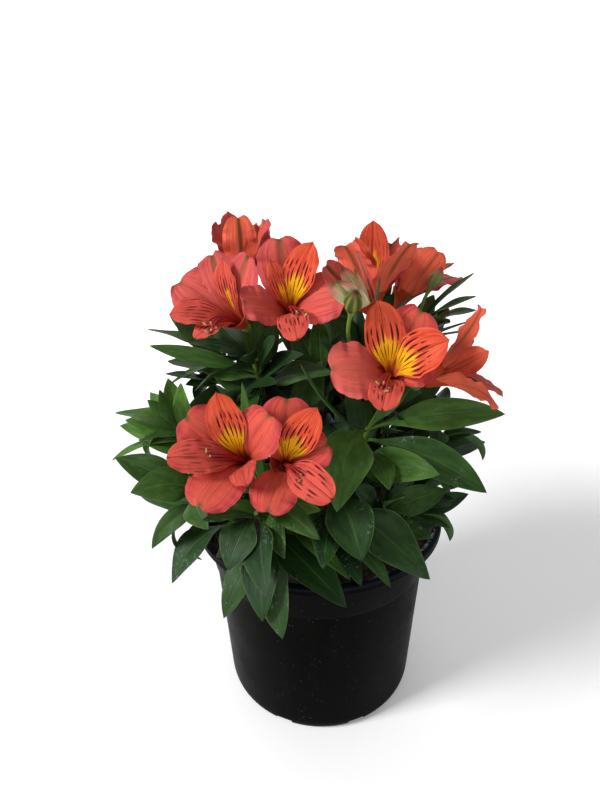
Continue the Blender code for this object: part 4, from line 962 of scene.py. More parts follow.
def leaf_half_width(width, along):
    """A narrow stalk, widest at LEAF_PEAK, then nearly straight sides to the point."""
    rise = smooth_step((along - LEAF_NECK) / (LEAF_PEAK - LEAF_NECK))
    past = np.clip((along - LEAF_PEAK) / (1.0 - LEAF_PEAK), 0.0, 1.0)
    return (LEAF_STALK + (width / 2 - LEAF_STALK) * rise) * (1.0 - past**2) ** LEAF_POINT


def rolled_blade(spine, side, face, roll, offset, height):
    """Points at an offset sideways and a height over the midrib, and the directions they face.

    The way across the blade and the way out of it are first turned about the midrib by roll.
    """
    sideways = side * np.cos(roll) + face * np.sin(roll)
    facing = (face * np.cos(roll) - side * np.sin(roll))[:, None]
    points = spine[:, None] + offset[..., None] * sideways[:, None] + height[..., None] * facing
    return points, np.broadcast_to(facing, points.shape)


def leaf_surface(leaf, along, across):
    """Grid of points on a leaf and the directions its face looks in.

    The midrib is an arch from root to tip, raised by lift. The blade is laid square across it,
    rolled about it, folded up along it, and waved at its edges.
    """
    root, tip, width = leaf["root"], leaf["tip"], leaf["width"]
    chord = tip - root
    length = np.linalg.norm(chord)
    forward = chord / length
    up = UP + 0.7 * unit([root[0], root[1], 0.0])
    raised = unit(up - np.dot(up, forward) * forward)
    side = np.cross(forward, raised)
    bent = root + 0.40 * chord + leaf["lift"] * length * raised + leaf["bow"] * length * side
    share = along[:, None]
    tangent = unit((1 - share) * (bent - root) + share * (tip - bent))
    side = unit(side - np.sum(side * tangent, axis=1, keepdims=True) * tangent)
    half = leaf_half_width(width, along)[:, None]
    offset = across * half
    rounding = 0.12 * width
    fold = LEAF_FOLD * (np.hypot(offset, rounding) - rounding)
    wave = leaf["wave"] * np.sin(9.0 * share + leaf["phase"]) * across * np.abs(across) * half
    roll = np.radians(leaf["roll"] + leaf["twist"] * (share - 0.3))
    spine = bezier(root, bent, tip, along)
    return rolled_blade(spine, side, np.cross(side, tangent), roll, offset, fold + wave)


def leaf_trial(leaf, trial):
    """The leaf moved a little further from its place with every trial, by its own seeded draw."""
    if trial == 0:
        return leaf
    draw = np.random.default_rng([SEED, leaf["seed"], trial])
    moved = dict(leaf)
    moved["tip"] = leaf["tip"] + unit(draw.normal(size=3)) * TRIAL_STEP * trial
    moved["lift"] = leaf["lift"] + 0.004 * trial * draw.normal()
    moved["roll"] = leaf["roll"] + trial * draw.normal()
    return moved


def level_way(heading):
    """The level direction at a heading, in degrees from +X: its cosine and its sine."""
    turn = math.radians(heading)
    return np.array([math.cos(turn), math.sin(turn), 0.0])


def climbing_way(level, climb):
    """A level direction times the climb's cosine, and up times its sine; climb is in degrees."""
    climb = np.radians(climb)[..., None]
    return np.cos(climb) * level + np.sin(climb) * UP


def leaf_habit(draw):
    """A leaf's twist in degrees, how deep its waves are and where they start, drawn in this order."""
    return dict(twist=draw.uniform(-25, 25), wave=draw.uniform(0.05, 0.16), phase=draw.uniform(0, math.tau))


def drawn_leaf(draw, seed, root, tip, widths, lifts, bow, rolls):
    """A leaf from root to tip; its width, lift, bow, roll and habit are drawn in this order."""
    return dict(root=root, tip=tip, seed=seed, width=draw.uniform(*widths) * MM, lift=draw.uniform(*lifts),
                bow=draw.uniform(-bow, bow), roll=draw.uniform(*rolls), **leaf_habit(draw))


def hand_leaves(listed, first):
    """The leaves of a list of stems and rows; the first of them has the seed that is given."""
    for seed, (stem, (height, tip, width, lift, bow, roll)) in enumerate(listed, first):
        habit = leaf_habit(np.random.default_rng([SEED, seed]))
        yield stem, dict(root=stem_point(stem, height), tip=np.array(tip) * MM, width=width * MM,
                         lift=lift, bow=bow, roll=roll, seed=seed, **habit)


def fill_leaves():
    """Further leaves by rule: up the stem in a golden spiral, longer and flatter where they face out."""
    for place, (stem, (count, heading)) in enumerate(FILL_LEAVES.items()):
        low, high = (0.30, 0.84) if stem in LEAVES else (0.34, 0.99)
        for step in range(count):
            seed = FILL_SEED + SEEDS_PER_STEM * place + step
            draw = np.random.default_rng([SEED, seed])
            height = low + (high - low) * (step + 0.5) / count
            level = level_way(heading + GOLDEN_TURN * step + draw.uniform(-14, 14))
            root = stem_point(stem, height)
            out = float(np.dot(level, unit([root[0], root[1], 0.0])))
            length = (66 + 9 * out + draw.uniform(-6, 8)) * MM
            climb = 34 - 26 * out + 20 * (height - 0.6) + draw.uniform(-8, 8)
            tip = root + length * climbing_way(level, climb)
            tip[:2] *= min(1.0, FILL_REACH / np.hypot(tip[0], tip[1]))
            tip[2] = max(tip[2], FILL_LOW)
            yield stem, drawn_leaf(draw, seed, root, tip, (17, 24), (0.16, 0.28), 0.08, (-18, 18))


def inner_leaves():
    """Small leaves deep in the plant, by the same spiral, each well inside the leaves of the lists."""
    for place, (stem, (count, heading)) in enumerate(INNER_LEAVES.items()):
        for step in range(count):
            seed = INNER_SEED + SEEDS_PER_STEM * place + step
            draw = np.random.default_rng([SEED, seed])
            root = stem_point(stem, draw.uniform(0.5, 0.97))
            level = level_way(heading + GOLDEN_TURN * step + draw.uniform(-20, 20))
            way = climbing_way(level, draw.uniform(10, 55))
            tip = root + draw.uniform(34, 54) * MM * way
            tip[:2] *= min(1.0, INNER_REACH / np.hypot(tip[0], tip[1]))
            tip[2] = min(tip[2], INNER_TOP)
            yield stem, drawn_leaf(draw, seed, root, tip, (13, 19), (0.10, 0.26), 0.1, (-60, 20))


def curled_surface(row, along, across):
    """Grid of points and facings of a leaf that curls ever faster downwards in one upright plane.

    The midrib's angle falls from its start by the curl times the share along it to CURL_POWER.
    """
    stem, height, heading, length, width, rise, curl, roll = row
    fine = np.linspace(0.0, 1.0, CURL_POINTS)
    level = level_way(heading)
    ways = climbing_way(level, rise - curl * fine**CURL_POWER)
    steps = (ways[1:] + ways[:-1]) * 0.5 * length * MM / (CURL_POINTS - 1)
    path = stem_point(stem, height) + np.concatenate([np.zeros((1, 3)), np.cumsum(steps, axis=0)])
    spine = np.stack([np.interp(along, fine, line) for line in path.T], axis=-1)
    tangent = np.stack([np.interp(along, fine, line) for line in ways.T], axis=-1)
    side = np.cross(level, UP)
    lean = np.radians(roll + CURL_TWIST * along)[:, None]
    offset = across * leaf_half_width(width * MM, along)[:, None]
    return rolled_blade(spine, side, np.cross(side, tangent), lean, offset, CURL_FOLD * np.abs(offset))


def blade(middle, facing, thickness):
    """A closed thin blade round a grid of points, thinning to its edges and ending in one point.

    Half the thickness falls off with the root of one less the fourth power of the share across.
    """
    columns = middle.shape[1]
    across = np.linspace(-1.0, 1.0, columns)
    half = facing * (0.5 * thickness * (1.0 - across**4) ** 0.5)[None, :, None]
    rings = np.concatenate([middle + half, (middle - half)[:, -2:0:-1]], axis=1)[:-1]
    return skin(rings, middle[0].mean(axis=0), middle[-1, columns // 2])


def blade_numbers(along, across):
    """Across, along and side (1 in front, 0 at the edge, -1 behind) for each point of a blade."""
    ring = np.concatenate([across, across[-2:0:-1]])
    face = np.ones(len(across) - 2)
    side = np.concatenate([[0.0], face, [0.0], -face])
    grid = stacked(ring, along[:-1, None], side).reshape(-1, 3)
    return np.concatenate([grid, [(0.0, 0.0, 0.0), (0.0, 1.0, 0.0)]])


def packed_corners(node):
    """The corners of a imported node, a row of X, Y and Z for each."""
    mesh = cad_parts[node].data
    corners = np.empty(3 * len(mesh.vertices), np.float32)
    mesh.vertices.foreach_get("co", corners)
    return corners.reshape(-1, 3)


def packed_trial(leaf, corners):
    """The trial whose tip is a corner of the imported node, or None where that leaf was left out."""
    trials = [leaf_trial(leaf, trial) for trial in range(TRIALS)]
    tips = np.array([trial["tip"] for trial in trials])
    misses = np.linalg.norm(tips[:, None] - corners[None], axis=2).min(axis=1)
    best = int(np.argmin(misses))
    return trials[best] if misses[best] < TIP_MATCH else None


def leaf_look(stem, leaf):
    """How young a leaf is, which grows with its height, how spotted, and a number of its own."""
    draw = np.random.default_rng([SEED, leaf["seed"], 7])
    _, depth, height = leaf["tip"]
    young = draw.uniform(-0.2, 0.4) + 1.6 * (height - YOUNG_HEIGHT) + FRESH_STEMS.get(stem, 0.0)
    if leaf["seed"] >= INNER_SEED:
        young = 0.0
    spotted = draw.uniform(0.6, 1.0) if depth < LOW_FRONT and height < LOW_HEIGHT else 0.25
    return float(np.clip(young, 0.0, 1.0)), spotted, draw.uniform()


leaf_green = Finish("leaf_skin", Roughness=0.42, Specular_IOR_Level=0.17)
across, along, side = leaf_green.stored("blade")
young, spotted, seed = leaf_green.stored("blade_look")
off_rib = across.maths("ABSOLUTE")
shift = seed * 17.0
patch = leaf_green.noise(leaf_green.vector(across * 1.2 + shift, along * 3.0, seed), 2.2)
vein = (across * (LEAF_VEINS * math.tau)).maths("COSINE")
streak = leaf_green.noise(leaf_green.vector(across * 14.0 + shift, along * 1.6, seed), 1.0)
line = leaf_green.ramp(vein, 0.55, 1.0) * leaf_green.ramp(streak, 0.40, 0.62)
rib = leaf_green.ramp(off_rib, 0.10, 0.02) * leaf_green.ramp(along, 1.0, 0.75)
at = leaf_green.place()
film = leaf_green.noise(at, 45.0, 3.0, 0.6)
crust = leaf_green.noise(at, 520.0, 4.0, 0.75)
deposit = leaf_green.ramp(crust, 0.55, 0.67) * leaf_green.ramp(film, 0.47, 0.62) * spotted
leaf_green.colour(leaf_green.layers(
    leaf_green.mix(young, srgb(18, 42, 15), srgb(60, 98, 30)),
    (leaf_green.ramp(patch, 0.35, 0.65), leaf_green.mix(young, srgb(27, 57, 22), srgb(80, 118, 42))),
    (line * 0.16, srgb(74, 102, 54)),
    (rib * 0.16, srgb(92, 118, 58)),
    (leaf_green.ramp(along, 0.22, 0.04) * 0.6, srgb(86, 110, 48)),
    (leaf_green.ramp(off_rib, 0.94, 1.0) * 0.5, srgb(100, 124, 62)),
    (leaf_green.ramp(side, 0.3, -0.3) * 0.5, srgb(68, 96, 56)),
    (deposit * 0.6, srgb(140, 166, 160)),
))
leaf_green.rough(leaf_green.ramp(film, 0.3, 0.7, 0.40, 0.56) + deposit * 0.3)
leaf_green.bump(vein * streak * 0.35 + rib * -1.2 + patch * 2.0, 0.16 * MM)

along = np.linspace(0.0, 1.0, LEAF_ROWS) ** 0.92
across = np.linspace(-1.0, 1.0, LEAF_COLUMNS)
numbers = blade_numbers(along, across)
leaf_parts = {stem: [] for stem in STEMS}
leaf_looks = {stem: [] for stem in STEMS}
corners = {stem: packed_corners(stem) for stem in STEMS}
listed = [(stem, row) for stem, rows in LEAVES.items() for row in rows] + LATE_LEAVES
packed = [*hand_leaves(listed, 0), *fill_leaves()]
matched = [(stem, packed_trial(leaf, corners[stem])) for stem, leaf in packed]
placed = [(stem, leaf) for stem, leaf in matched if leaf is not None]
for stem, leaf in [*placed, *hand_leaves(CLOSING_LEAVES, CLOSING_SEED), *inner_leaves()]:
    leaf_parts[stem].append(blade(*leaf_surface(leaf, along, across), LEAF_THICKNESS))
    leaf_looks[stem].append(leaf_look(stem, leaf))
for number, row in enumerate(CURLED_LEAVES):
    leaf_parts[row[0]].append(blade(*curled_surface(row, along, across), LEAF_THICKNESS))
    leaf_looks[row[0]].append((0.35, 0.1, number / len(CURLED_LEAVES)))
for stem in STEMS:
    points, faces, owner = joined(leaf_parts[stem])
    leaves = mesh_piece(f"{stem}_leaves", points, faces, leaf_green, sharp=70)
    store(leaves, "blade", np.tile(numbers, (len(leaf_parts[stem]), 1)))
    store(leaves, "blade_look", np.array(leaf_looks[stem])[owner])
    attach(leaves, "root")
    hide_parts(stem)


# Blooms.
# Six thin tepals on a short hub: three broad, ruffled outer ones in pink-coral, and three narrower
# inner ones, of which the upper two carry a yellow flash and rows of maroon dashes. Six red
# filaments with small pale anthers hang to the lower tepal.

# Kinds of tepal: number in its finish, shares of the yellow flash, the dashes and the green stripe,
# and how ruffled it is; length, half width and half width of the claw in millimetres; lean at the
# claw and flare at the tip in degrees off the bloom's axis; where it swells; where its tip starts,
# the power and bluntness of its curve, and where past the knee it ends; depth of its notch in
# millimetres, the bend across the blade per millimetre, and how far off the axis it starts.
KINDS = {
    "outer": dict(number=0.0, marks=(0, 0, 0.15), ruffle=1.0, length=50, half=15.5, claw=3.2,
                  lean=16, flare=84, rise=(0.02, 0.62), tip=(0.60, 2.8, 0.50, 0.99), notch=2.4,
                  bend=-0.008, start=2.7),
    "upper": dict(number=1.0, marks=(1.0, 1.0, 0), ruffle=0.5, length=56, half=10.5, claw=2.2,
                  lean=9, flare=72, rise=(0.16, 0.62), tip=(0.58, 2.5, 0.56, 0.93), notch=0.0,
                  bend=0.016, start=1.6),
    "lower": dict(number=2.0, marks=(0.0, 0.9, 0), ruffle=0.6, length=48, half=9.0, claw=2.2,
                  lean=9, flare=84, rise=(0.16, 0.62), tip=(0.64, 2.8, 0.47, 0.99), notch=0.0,
                  bend=0.012, start=1.6),
}
TEPALS = (("outer", 90), ("outer", 210), ("outer", 330), ("upper", 32), ("upper", 148), ("lower", 270))

# Tepals whose marks differ: bloom -> number -> shares of the yellow flash, dashes and green stripe.
TEPAL_MARKS = {
    "bloom_left": {0: (0, 0, 0.7), 4: (0.25, 0.8, 0)},
    "bloom_left_outer": {
        0: (0, 0, 0.8), 2: (0, 0, 0.6), 3: (0.15, 1.0, 0), 4: (0.0, 0.8, 0), 5: (0.0, 0.9, 0)},
    "bloom_left_top": {0: (0, 0, 1.0), 3: (0.1, 0.8, 0), 4: (0.1, 0.8, 0)},
    "bloom_low_left": {3: (0.0, 0.3, 0), 5: (0.0, 0.5, 0)},
    "bloom_low_middle": {4: (0.1, 0.4, 0), 5: (0.02, 0.9, 0)},
    "bloom_right_side": {0: (0, 0, 0.6), 3: (0.0, 0.5, 0), 4: (0.0, 0.6, 0), 5: (0.0, 0.5, 0)},
    "bloom_back": {0: (0, 0, 0.7), 1: (0, 0, 0.7), 2: (0, 0, 0.7), 3: (0.4, 0.4, 0), 4: (0.3, 0.3, 0)},
    "bloom_back_far": {1: (0, 0, 0.8), 3: (0.5, 0.4, 0), 4: (0.5, 0.4, 0)},
    "bloom_half_open": {0: (0, 0, 1.0), 1: (0, 0, 1.0), 2: (0, 0, 1.0)},
}
# How pink the outer tepals of a bloom are, from 0 (orange-red) to 1, or to 2 (pale, with a green foot).
PINKNESS = {
    "bloom_left_outer": 1.0, "bloom_half_open": 2.0, "bloom_left": 0.7, "bloom_right": 0.2,
    "bloom_left_top": 0.6, "bloom_back": 0.2, "bloom_back_far": 0.2, "bloom_right_side": 0.3,
    "bloom_low_left": 0.2, "bloom_low_middle": 0.2,
}
# Tepals that are pinker or less pink than the rest of their bloom. Tepal 1 of bloom_right is set past 1 only
# so that it takes the paler, brighter coat: painted light on a tepal that the lamp reaches less.
TEPAL_PINKNESS_AND_LIGHT = {("bloom_half_open", 0): 0.4, ("bloom_half_open", 1): 1.4, ("bloom_right", 1): 1.6}
BLOOM_SEED = 1000
SEEDS_PER_BLOOM = 10
TEPAL_ROWS = 36
TEPAL_COLUMNS = 21
MIDLINE_POINTS = 101
FLARE_POWER = 1.4               # how late along its length a tepal flares
CLAW_BEND = 0.26 / MM
TEPAL_TILT = 0.10               # one edge of each tepal lies over its neighbour's
TEPAL_THICKNESS = 0.6 * MM
TEPAL_FOOT = 1.0 * MM           # height in the hub at which the tepals start
TIP_HALF = 0.45 * MM            # half width of the little point that a tepal ends in
RUFFLE = 1.15 * MM
SHUT_RUFFLE = 0.25              # how much of it the half-open bloom has
RAGGED = 0.013                  # how uneven an edge is, as a share of the half width
GROOVE = 0.5 * MM
DASH_ROWS = 8
DASH_PITCH = 4.6                # dashes in a row along a whole tepal
THROAT_SHARES = np.linspace(0.0, 0.26, 7)
THROAT_OUTSIDE = 1.1 * MM       # from the claws' midlines to the outside of the throat
THROAT_WALL = 0.5 * MM
NO_STAMENS = ("bloom_half_open", "bloom_back_far", "bloom_back", "bloom_left_top")
STAMENS = 6
STAMEN_LENGTH = 34 * MM
STAMEN_DROP = 16 * MM
FILAMENT_RADIUS = 0.6 * MM
FILAMENT_POINTS = 14
ANTHER_RADIUS = 0.65 * MM
ANTHER_HALF_LENGTH = 1.7 * MM


def tepal_half_width(kind, along):
    """Narrow claw, a swelling blade, and a rounded or pointed tip."""
    claw, half = kind["claw"] * MM, kind["half"] * MM
    start, full = kind["rise"]
    swell = smooth_step((along - start) / (full - start))
    knee, power, blunt, ends = kind["tip"]
    late = np.clip((along - knee) / (1.0 - knee), 0.0, 1.0)
    fall = (1.0 - np.clip(late / ends, 0.0, 1.0) ** power) ** blunt
    point = TIP_HALF * np.clip((1.0 - late) / (1.0 - ends), 0.0, 1.0) ** 0.5
    return np.maximum((claw + (half - claw) * swell) * fall, point)


def tepal_surface(kind, angle, along, across):
    """Grid of points and facings of a tepal, in its bloom's own frame.

    The midline starts at the hub, leans off the axis, and turns outwards as it goes. The blade is
    bent round the axis at the claw like part of a funnel, and opens out flat above it.
    """
    fine = np.linspace(0.0, 1.0, MIDLINE_POINTS)
    lean = np.radians(kind["lean"] + (kind["flare"] - kind["lean"]) * fine**FLARE_POWER)
    length = kind["length"] * MM
    step = length / (MIDLINE_POINTS - 1)
    between = (lean[1:] + lean[:-1]) / 2
    radial = kind["start"] * MM + np.concatenate([[0.0], np.cumsum(np.sin(between) * step)])
    axial = TEPAL_FOOT + np.concatenate([[0.0], np.cumsum(np.cos(between) * step)])
    row = along[:, None]
    ragged = np.sin(31.0 * row + kind["phase"]) + 0.8 * np.sin(67.0 * row - 2.0 * kind["phase"])
    half = tepal_half_width(kind, row)
    offset = across * half * (1.0 + kind["ruffle"] * RAGGED * ragged * np.abs(across) ** 6)
    notch = kind["notch"] * MM * np.exp(-((offset / (0.22 * kind["half"] * MM)) ** 2)) * row**12
    share = np.clip(row - notch / length, 0.0, 1.0)
    lean_here = np.interp(share, fine, lean)
    bend = CLAW_BEND * np.clip(1.0 - share / 0.8, 0.0, 1.0) ** 3 + kind["bend"] / MM
    turn = offset * bend
    safe = np.where(np.abs(bend) < 1e-6, 1e-6, bend)
    sideways = np.sin(turn) / safe
    inwards = (1.0 - np.cos(turn)) / safe + TEPAL_TILT * sideways * smooth_step(share / 0.3)
    radial_way = -np.cos(lean_here)
    axial_way = np.sin(lean_here)
    out = level_way(angle)
    tangent = np.cross(UP, out)

    def in_frame(radius, height, aside):
        """So far out from the axis, up along it and aside, added up."""
        return radius[..., None] * out + height[..., None] * UP + aside[..., None] * tangent

    points = in_frame(np.interp(share, fine, radial) + inwards * radial_way,
                      np.interp(share, fine, axial) + inwards * axial_way, sideways)
    return points, in_frame(np.cos(turn) * radial_way, np.cos(turn) * axial_way, -np.sin(turn))


def bloom_tepals(name):
    """Kind and angle of each tepal of a bloom, with what differs from the plain one."""
    changes = BLOOMS[name][4]
    for number, (kind_name, angle) in enumerate(TEPALS):
        kind = dict(KINDS[kind_name])
        angle, kind["flare"], length, width = changes.get(number, (angle, kind["flare"], 1.0, 1.0))
        kind["length"] *= length
        kind["half"] *= width
        kind["phase"] = 2.1 * number + 0.1 * angle
        kind["ruffle"] *= SHUT_RUFFLE if name == "bloom_half_open" else 1.0
        yield kind, angle


def world_direction(name, ways):
    """From a bloom's own frame to the world's: right, up and forward times the three numbers.

    Forward is the bloom's heading, and up leans to the sky and then rolls about it.
    """
    _, _, heading, roll, _ = BLOOMS[name]
    forward = unit(heading)
    sky = UP if abs(forward[2]) < 0.9 else np.array([0.0, 1.0, 0.0])
    up = unit(sky - np.dot(sky, forward) * forward)
    right = np.cross(up, forward)
    turn = math.radians(roll)
    rolled_right = right * math.cos(turn) + up * math.sin(turn)
    rolled_up = up * math.cos(turn) - right * math.sin(turn)
    return ways[..., 0:1] * rolled_right + ways[..., 1:2] * rolled_up + ways[..., 2:3] * forward


def in_world(name, points):
    """Points of a bloom's own frame in the world: their directions, from the bloom's foot."""
    return np.array(BLOOMS[name][1]) * MM + world_direction(name, points)


def ruffled(kind, seed, along, across, points, facing):
    """Waves towards the edges of the blade and a groove along its middle."""
    phase = np.random.default_rng([SEED, seed]).uniform(0, math.tau, 3)
    share = along[:, None]
    edge = np.abs(across) ** 2.2 * smooth_step((share - 0.3) / 0.4)
    side = np.sign(across)
    wave = (np.sin(19 * share + phase[0] + 1.4 * side) + 0.6 * np.sin(33 * share + phase[1] - side)
            + 0.35 * np.sin(57 * share + phase[2]))
    groove = -GROOVE * np.exp(-((across / 0.09) ** 2)) * smooth_step((share - 0.25) / 0.3)
    return points + (kind["ruffle"] * RUFFLE * edge * wave + groove)[..., None] * facing


def throat(name):
    """The midline of the outer tepals' claws that stands furthest out, turned into a thin cup."""
    outer = [kind for kind, _ in bloom_tepals(name)][:3]
    claws = [tepal_surface(kind, 0.0, THROAT_SHARES, np.zeros(1))[0][:, 0] for kind in outer]
    widest = max(claws, key=lambda claw: claw[-1, 0])
    wall = np.concatenate([widest + (THROAT_OUTSIDE, 0, 0),
                           widest[::-1] + (THROAT_OUTSIDE - THROAT_WALL, 0, 0)])
    rings = turned_surface(wall[:, [0, 2]], TUBE_COLUMNS)
    return skin(rings, np.zeros(3), np.array([0.0, 0.0, 2.0 * TEPAL_FOOT]))


def stamen(number):
    """A filament from the hub that hangs towards the lower tepal, and an egg for its anther."""
    turn = math.tau * (number + 0.5) / STAMENS
    root = np.array([1.1 * math.cos(turn), 1.1 * math.sin(turn), 3.0]) * MM
    spread = np.array([3.4 * math.cos(turn), 3.0 * math.sin(turn), 0.0]) * MM
    reach = STAMEN_LENGTH * (0.86 + 0.05 * (number % 3))
    middle = np.array([0.0, -1.5 * MM, 0.84 * reach])
    end = np.array([0.0, -STAMEN_DROP, 0.98 * reach]) + spread
    path = bezier(root, middle, end, np.linspace(0.0, 1.0, FILAMENT_POINTS))
    filament = tube(path, np.linspace(1.0, 0.8, FILAMENT_POINTS) * FILAMENT_RADIUS, columns=8)
    share = np.linspace(-1.0, 1.0, 9)
    way = unit(end - middle + np.array([0.3 * math.cos(turn), 0.5, 0.2]) * reach)
    radii = ANTHER_RADIUS * np.sqrt(np.clip(1.02 - share**2, 0.0, 1.0))
    anther = tube(end + share[:, None] * ANTHER_HALF_LENGTH * way, radii, columns=10)
    return filament, anther


petal = Finish("tepal_skin", Roughness=0.55, Specular_IOR_Level=0.07)
across, along, side = petal.stored("blade")
kind, tone, pink = petal.stored("tepal_look")
flash_share, dash_share, stripe = petal.stored("tepal_marks")
inner = petal.ramp(kind, 0.3, 0.7)
lower = petal.ramp(kind, 1.4, 1.6)
# How far the pinkness goes past 1: the pale bloom's own paleness, and painted light on one tepal of
# bloom_right.
pale = petal.ramp(pink, 1.0, 2.0)
palest = petal.ramp(pink, 1.6, 2.0)
off_mid = across.maths("ABSOLUTE")
shift = tone * 23.0
mottle = petal.noise(petal.vector(across * 2.0 + shift, along * 3.0, tone), 2.0)
fibre = petal.noise(petal.vector(across * 32.0 + shift, along * 2.2, tone), 1.0, 4.0)
patch = petal.noise(petal.vector(across * 3.0 + shift, along * 6.0, tone * 9.0), 1.6, 4.0)
vein = petal.ramp(fibre, 0.50, 0.66)
rim = petal.ramp(off_mid + along * 0.55 + mottle * 0.3, 0.95, 1.65)
blotch = petal.ramp(patch, 0.45, 0.72) * rim * (1.0 - inner)

# The yellow flash, with a ragged outline.
ragged = along + (fibre - 0.5) * 0.42 + off_mid * 0.16
reach = flash_share * 0.85 + 0.13
flash = (petal.ramp(ragged, 0.66, 0.56) * petal.ramp(ragged, 0.26, 0.36)
         * petal.ramp(off_mid - reach, 0.0, -0.12) * petal.ramp(flash_share, 0.0, 0.15))

# Dashes: drawn-out dots in rows along the tepal, each shifted, sized or left out by a draw of its own.
row = across * (DASH_ROWS / 2) + DASH_ROWS / 2
row_number = row.maths("FLOOR")
row_draw = petal.node("TexWhiteNoise", {"W": row_number + shift}, "Value", noise_dimensions="1D")
run = along * DASH_PITCH + row_draw * 5.0
dash_number = run.maths("FLOOR") + row_number * 13.0 + shift
dash_draw = petal.node("TexWhiteNoise", {"W": dash_number}, "Value", noise_dimensions="1D")
from_row = row.maths("FRACT") - 0.5 + (dash_draw - 0.5) * 0.3
from_dash = run.maths("FRACT") - 0.5
wide = (petal.ramp(along, 0.35, 0.65, 0.12, 0.20) + lower * 0.05) * (1.0 - from_dash * 0.6)
dash_size = (from_row / wide) ** 2.0 + (from_dash / (dash_draw * 0.14 + 0.40 + lower * -0.16)) ** 2.0
zone = (petal.ramp(along + lower * -0.12, 0.27, 0.33)
        * petal.ramp(along + off_mid * 0.10 + lower * -0.10, 0.84, 0.76)
        * petal.ramp(dash_draw + lower * -0.22, 0.07, 0.11))
dash = petal.ramp(dash_size, 1.15, 0.75) * zone * petal.ramp(off_mid, 0.99, 0.90)

# The midlines, tips and stripes.
midline = petal.ramp(off_mid, 0.05, 0.01) * petal.ramp(along, 0.55, 0.8)
dark_tip = petal.ramp(along - off_mid * 0.08, 0.95, 0.985)
smudge = petal.ramp(off_mid + (1.0 - along) * 5.0 + mottle * 0.5, 0.90, 0.45) * (1.0 - inner)
green_line = (petal.ramp(off_mid - along * 0.18 + (fibre - 0.5) * 0.35, 0.14, -0.08)
              * petal.ramp(along, 0.35, 0.9) * stripe)
back_line = petal.ramp(off_mid + (fibre - 0.5) * 0.5, 0.26, 0.02) * petal.ramp(along, 0.3, 0.6)

orange = petal.mix(petal.ramp(mottle, 0.3, 0.7), srgb(204, 72, 46), srgb(216, 90, 62))
inner_tone = petal.mix(petal.ramp(flash_share, 0.0, 0.4), srgb(202, 82, 70), orange)
outer_tone = petal.mix(rim, petal.mix(pink, srgb(206, 84, 68), srgb(200, 86, 78)),
                       petal.mix(pink, srgb(188, 66, 68), srgb(188, 82, 84)))
front = petal.layers(
    petal.mix(inner, outer_tone, inner_tone),
    (petal.ramp(along, 0.45, 0.15) * 0.7, srgb(206, 78, 40)),
    (vein * 0.36, srgb(150, 38, 44)),
    (blotch * 0.45, srgb(176, 52, 66)),
    (flash * 0.95, srgb(240, 176, 26)),
    (dash * dash_share * 0.95, srgb(62, 6, 8)),
    (midline * inner * 0.7, srgb(120, 26, 22)),
    (dark_tip * inner * 0.85, srgb(64, 30, 22)),
    (smudge * 0.8, srgb(108, 76, 52)),
    # paler, brighter coat: the pale bloom's own colour, and painted light on one tepal of bloom_right
    (pale * 0.5, petal.mix(palest, srgb(236, 112, 96), srgb(236, 150, 146))),
    (palest * petal.ramp(along + off_mid * 0.2, 1.05, 0.70), srgb(206, 206, 160)),
    (palest * vein * 0.5, srgb(134, 144, 84)),
    (palest * petal.ramp(along, 0.84, 0.98), srgb(92, 98, 56)),
    (green_line * 0.85, petal.mix(palest, srgb(78, 66, 34), srgb(120, 130, 62))),
)
# The backs: the front's colours under a brighter orange coat, which is partly the backs' own more orange
# tone and partly painted light on backs that face away from the lamp; veins are drawn over it, and the pale
# bloom keeps its front colours.
back_with_painted_light = petal.layers(
    front,
    # brighter orange: the backs' own tone and painted light
    (0.7, srgb(246, 112, 80)),
    (vein * 0.35, srgb(160, 44, 34)),
    (pale, front),
)
striped_back = petal.layers(
    back_with_painted_light,
    (back_line, petal.mix(pale, srgb(74, 56, 28), srgb(150, 156, 92))),
    (petal.ramp(along, 0.3, 0.0) * 0.6, srgb(110, 104, 50)),
)
back = petal.mix(stripe * 0.6 + 0.25, back_with_painted_light, striped_back)
petal.colour(petal.mix(petal.ramp(side, 0.3, -0.3), front, back))
petal.rough(petal.ramp(mottle, 0.3, 0.7, 0.46, 0.60))
petal.bump(vein * 0.5 + mottle, 0.30 * MM)

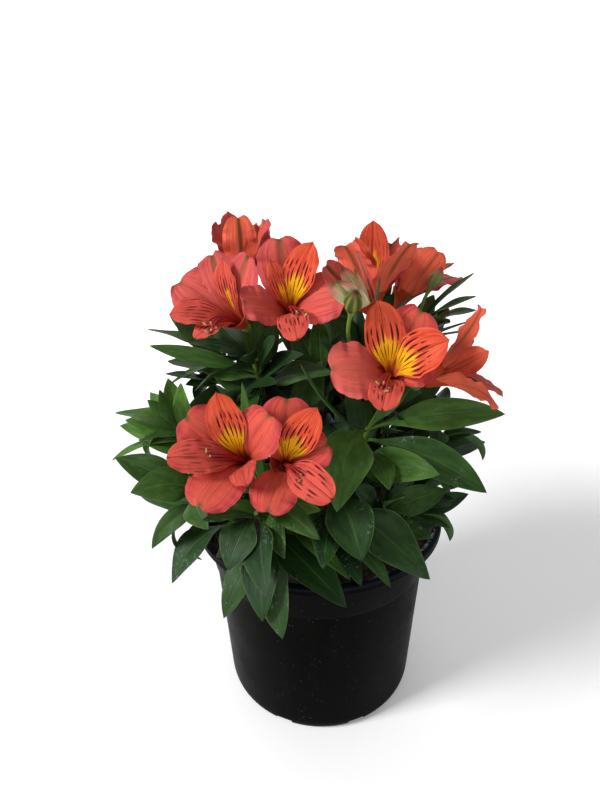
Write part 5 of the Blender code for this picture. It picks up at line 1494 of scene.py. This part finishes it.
throat_red = mottled("throat_skin", 300.0, srgb(134, 34, 22), srgb(186, 74, 34),
                     Roughness=0.6, Specular_IOR_Level=0.15)
filament_red = mottled("filament_skin", 160.0, srgb(126, 14, 24), srgb(164, 34, 36), Roughness=0.45)
anther_cream = mottled("anther_skin", 900.0, srgb(88, 60, 30), srgb(214, 178, 106), Roughness=0.8)

along = 1.0 - (1.0 - np.linspace(0.0, 1.0, TEPAL_ROWS)) ** 1.15
across = np.linspace(-1.0, 1.0, TEPAL_COLUMNS)
numbers = blade_numbers(along, across)
for bloom_number, name in enumerate(BLOOMS):
    parts = []
    looks = []
    marks = []
    for number, (kind, angle) in enumerate(bloom_tepals(name)):
        seed = BLOOM_SEED + SEEDS_PER_BLOOM * bloom_number + number
        points, facing = tepal_surface(kind, angle, along, across)
        points = ruffled(kind, seed, along, across, points, facing)
        parts.append(blade(in_world(name, points), world_direction(name, facing), TEPAL_THICKNESS))
        tone = np.random.default_rng([SEED, seed, 1]).uniform()
        # pinkness, which for one tepal of bloom_right also carries painted light
        looks.append((kind["number"], tone, TEPAL_PINKNESS_AND_LIGHT.get((name, number), PINKNESS[name])))
        marks.append(TEPAL_MARKS.get(name, {}).get(number, kind["marks"]))
    points, faces, owner = joined(parts)
    tepals = mesh_piece(f"{name}_tepals", points, faces, petal, sharp=75)
    store(tepals, "blade", np.tile(numbers, (len(parts), 1)))
    store(tepals, "tepal_look", np.array(looks)[owner])
    store(tepals, "tepal_marks", np.array(marks, float)[owner])
    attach(tepals, "root")
    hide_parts(name)
    points, faces = throat(name)
    hub = mesh_piece(f"{name}_throat", in_world(name, points), faces, throat_red, sharp=60)
    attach(hub, "root")
    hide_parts(name)
    if name in NO_STAMENS:
        continue
    groups = zip(*[stamen(number) for number in range(STAMENS)])
    for label, finish, group in zip(("filaments", "anthers"), (filament_red, anther_cream), groups):
        points, faces, _ = joined(group)
        piece = mesh_piece(f"{name}_{label}", in_world(name, points), faces, finish)
        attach(piece, "root")
        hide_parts(name)


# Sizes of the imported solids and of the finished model.
sizes = {"cad": [list(corner) for corner in cad_box], "visual": [list(corner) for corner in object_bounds()]}
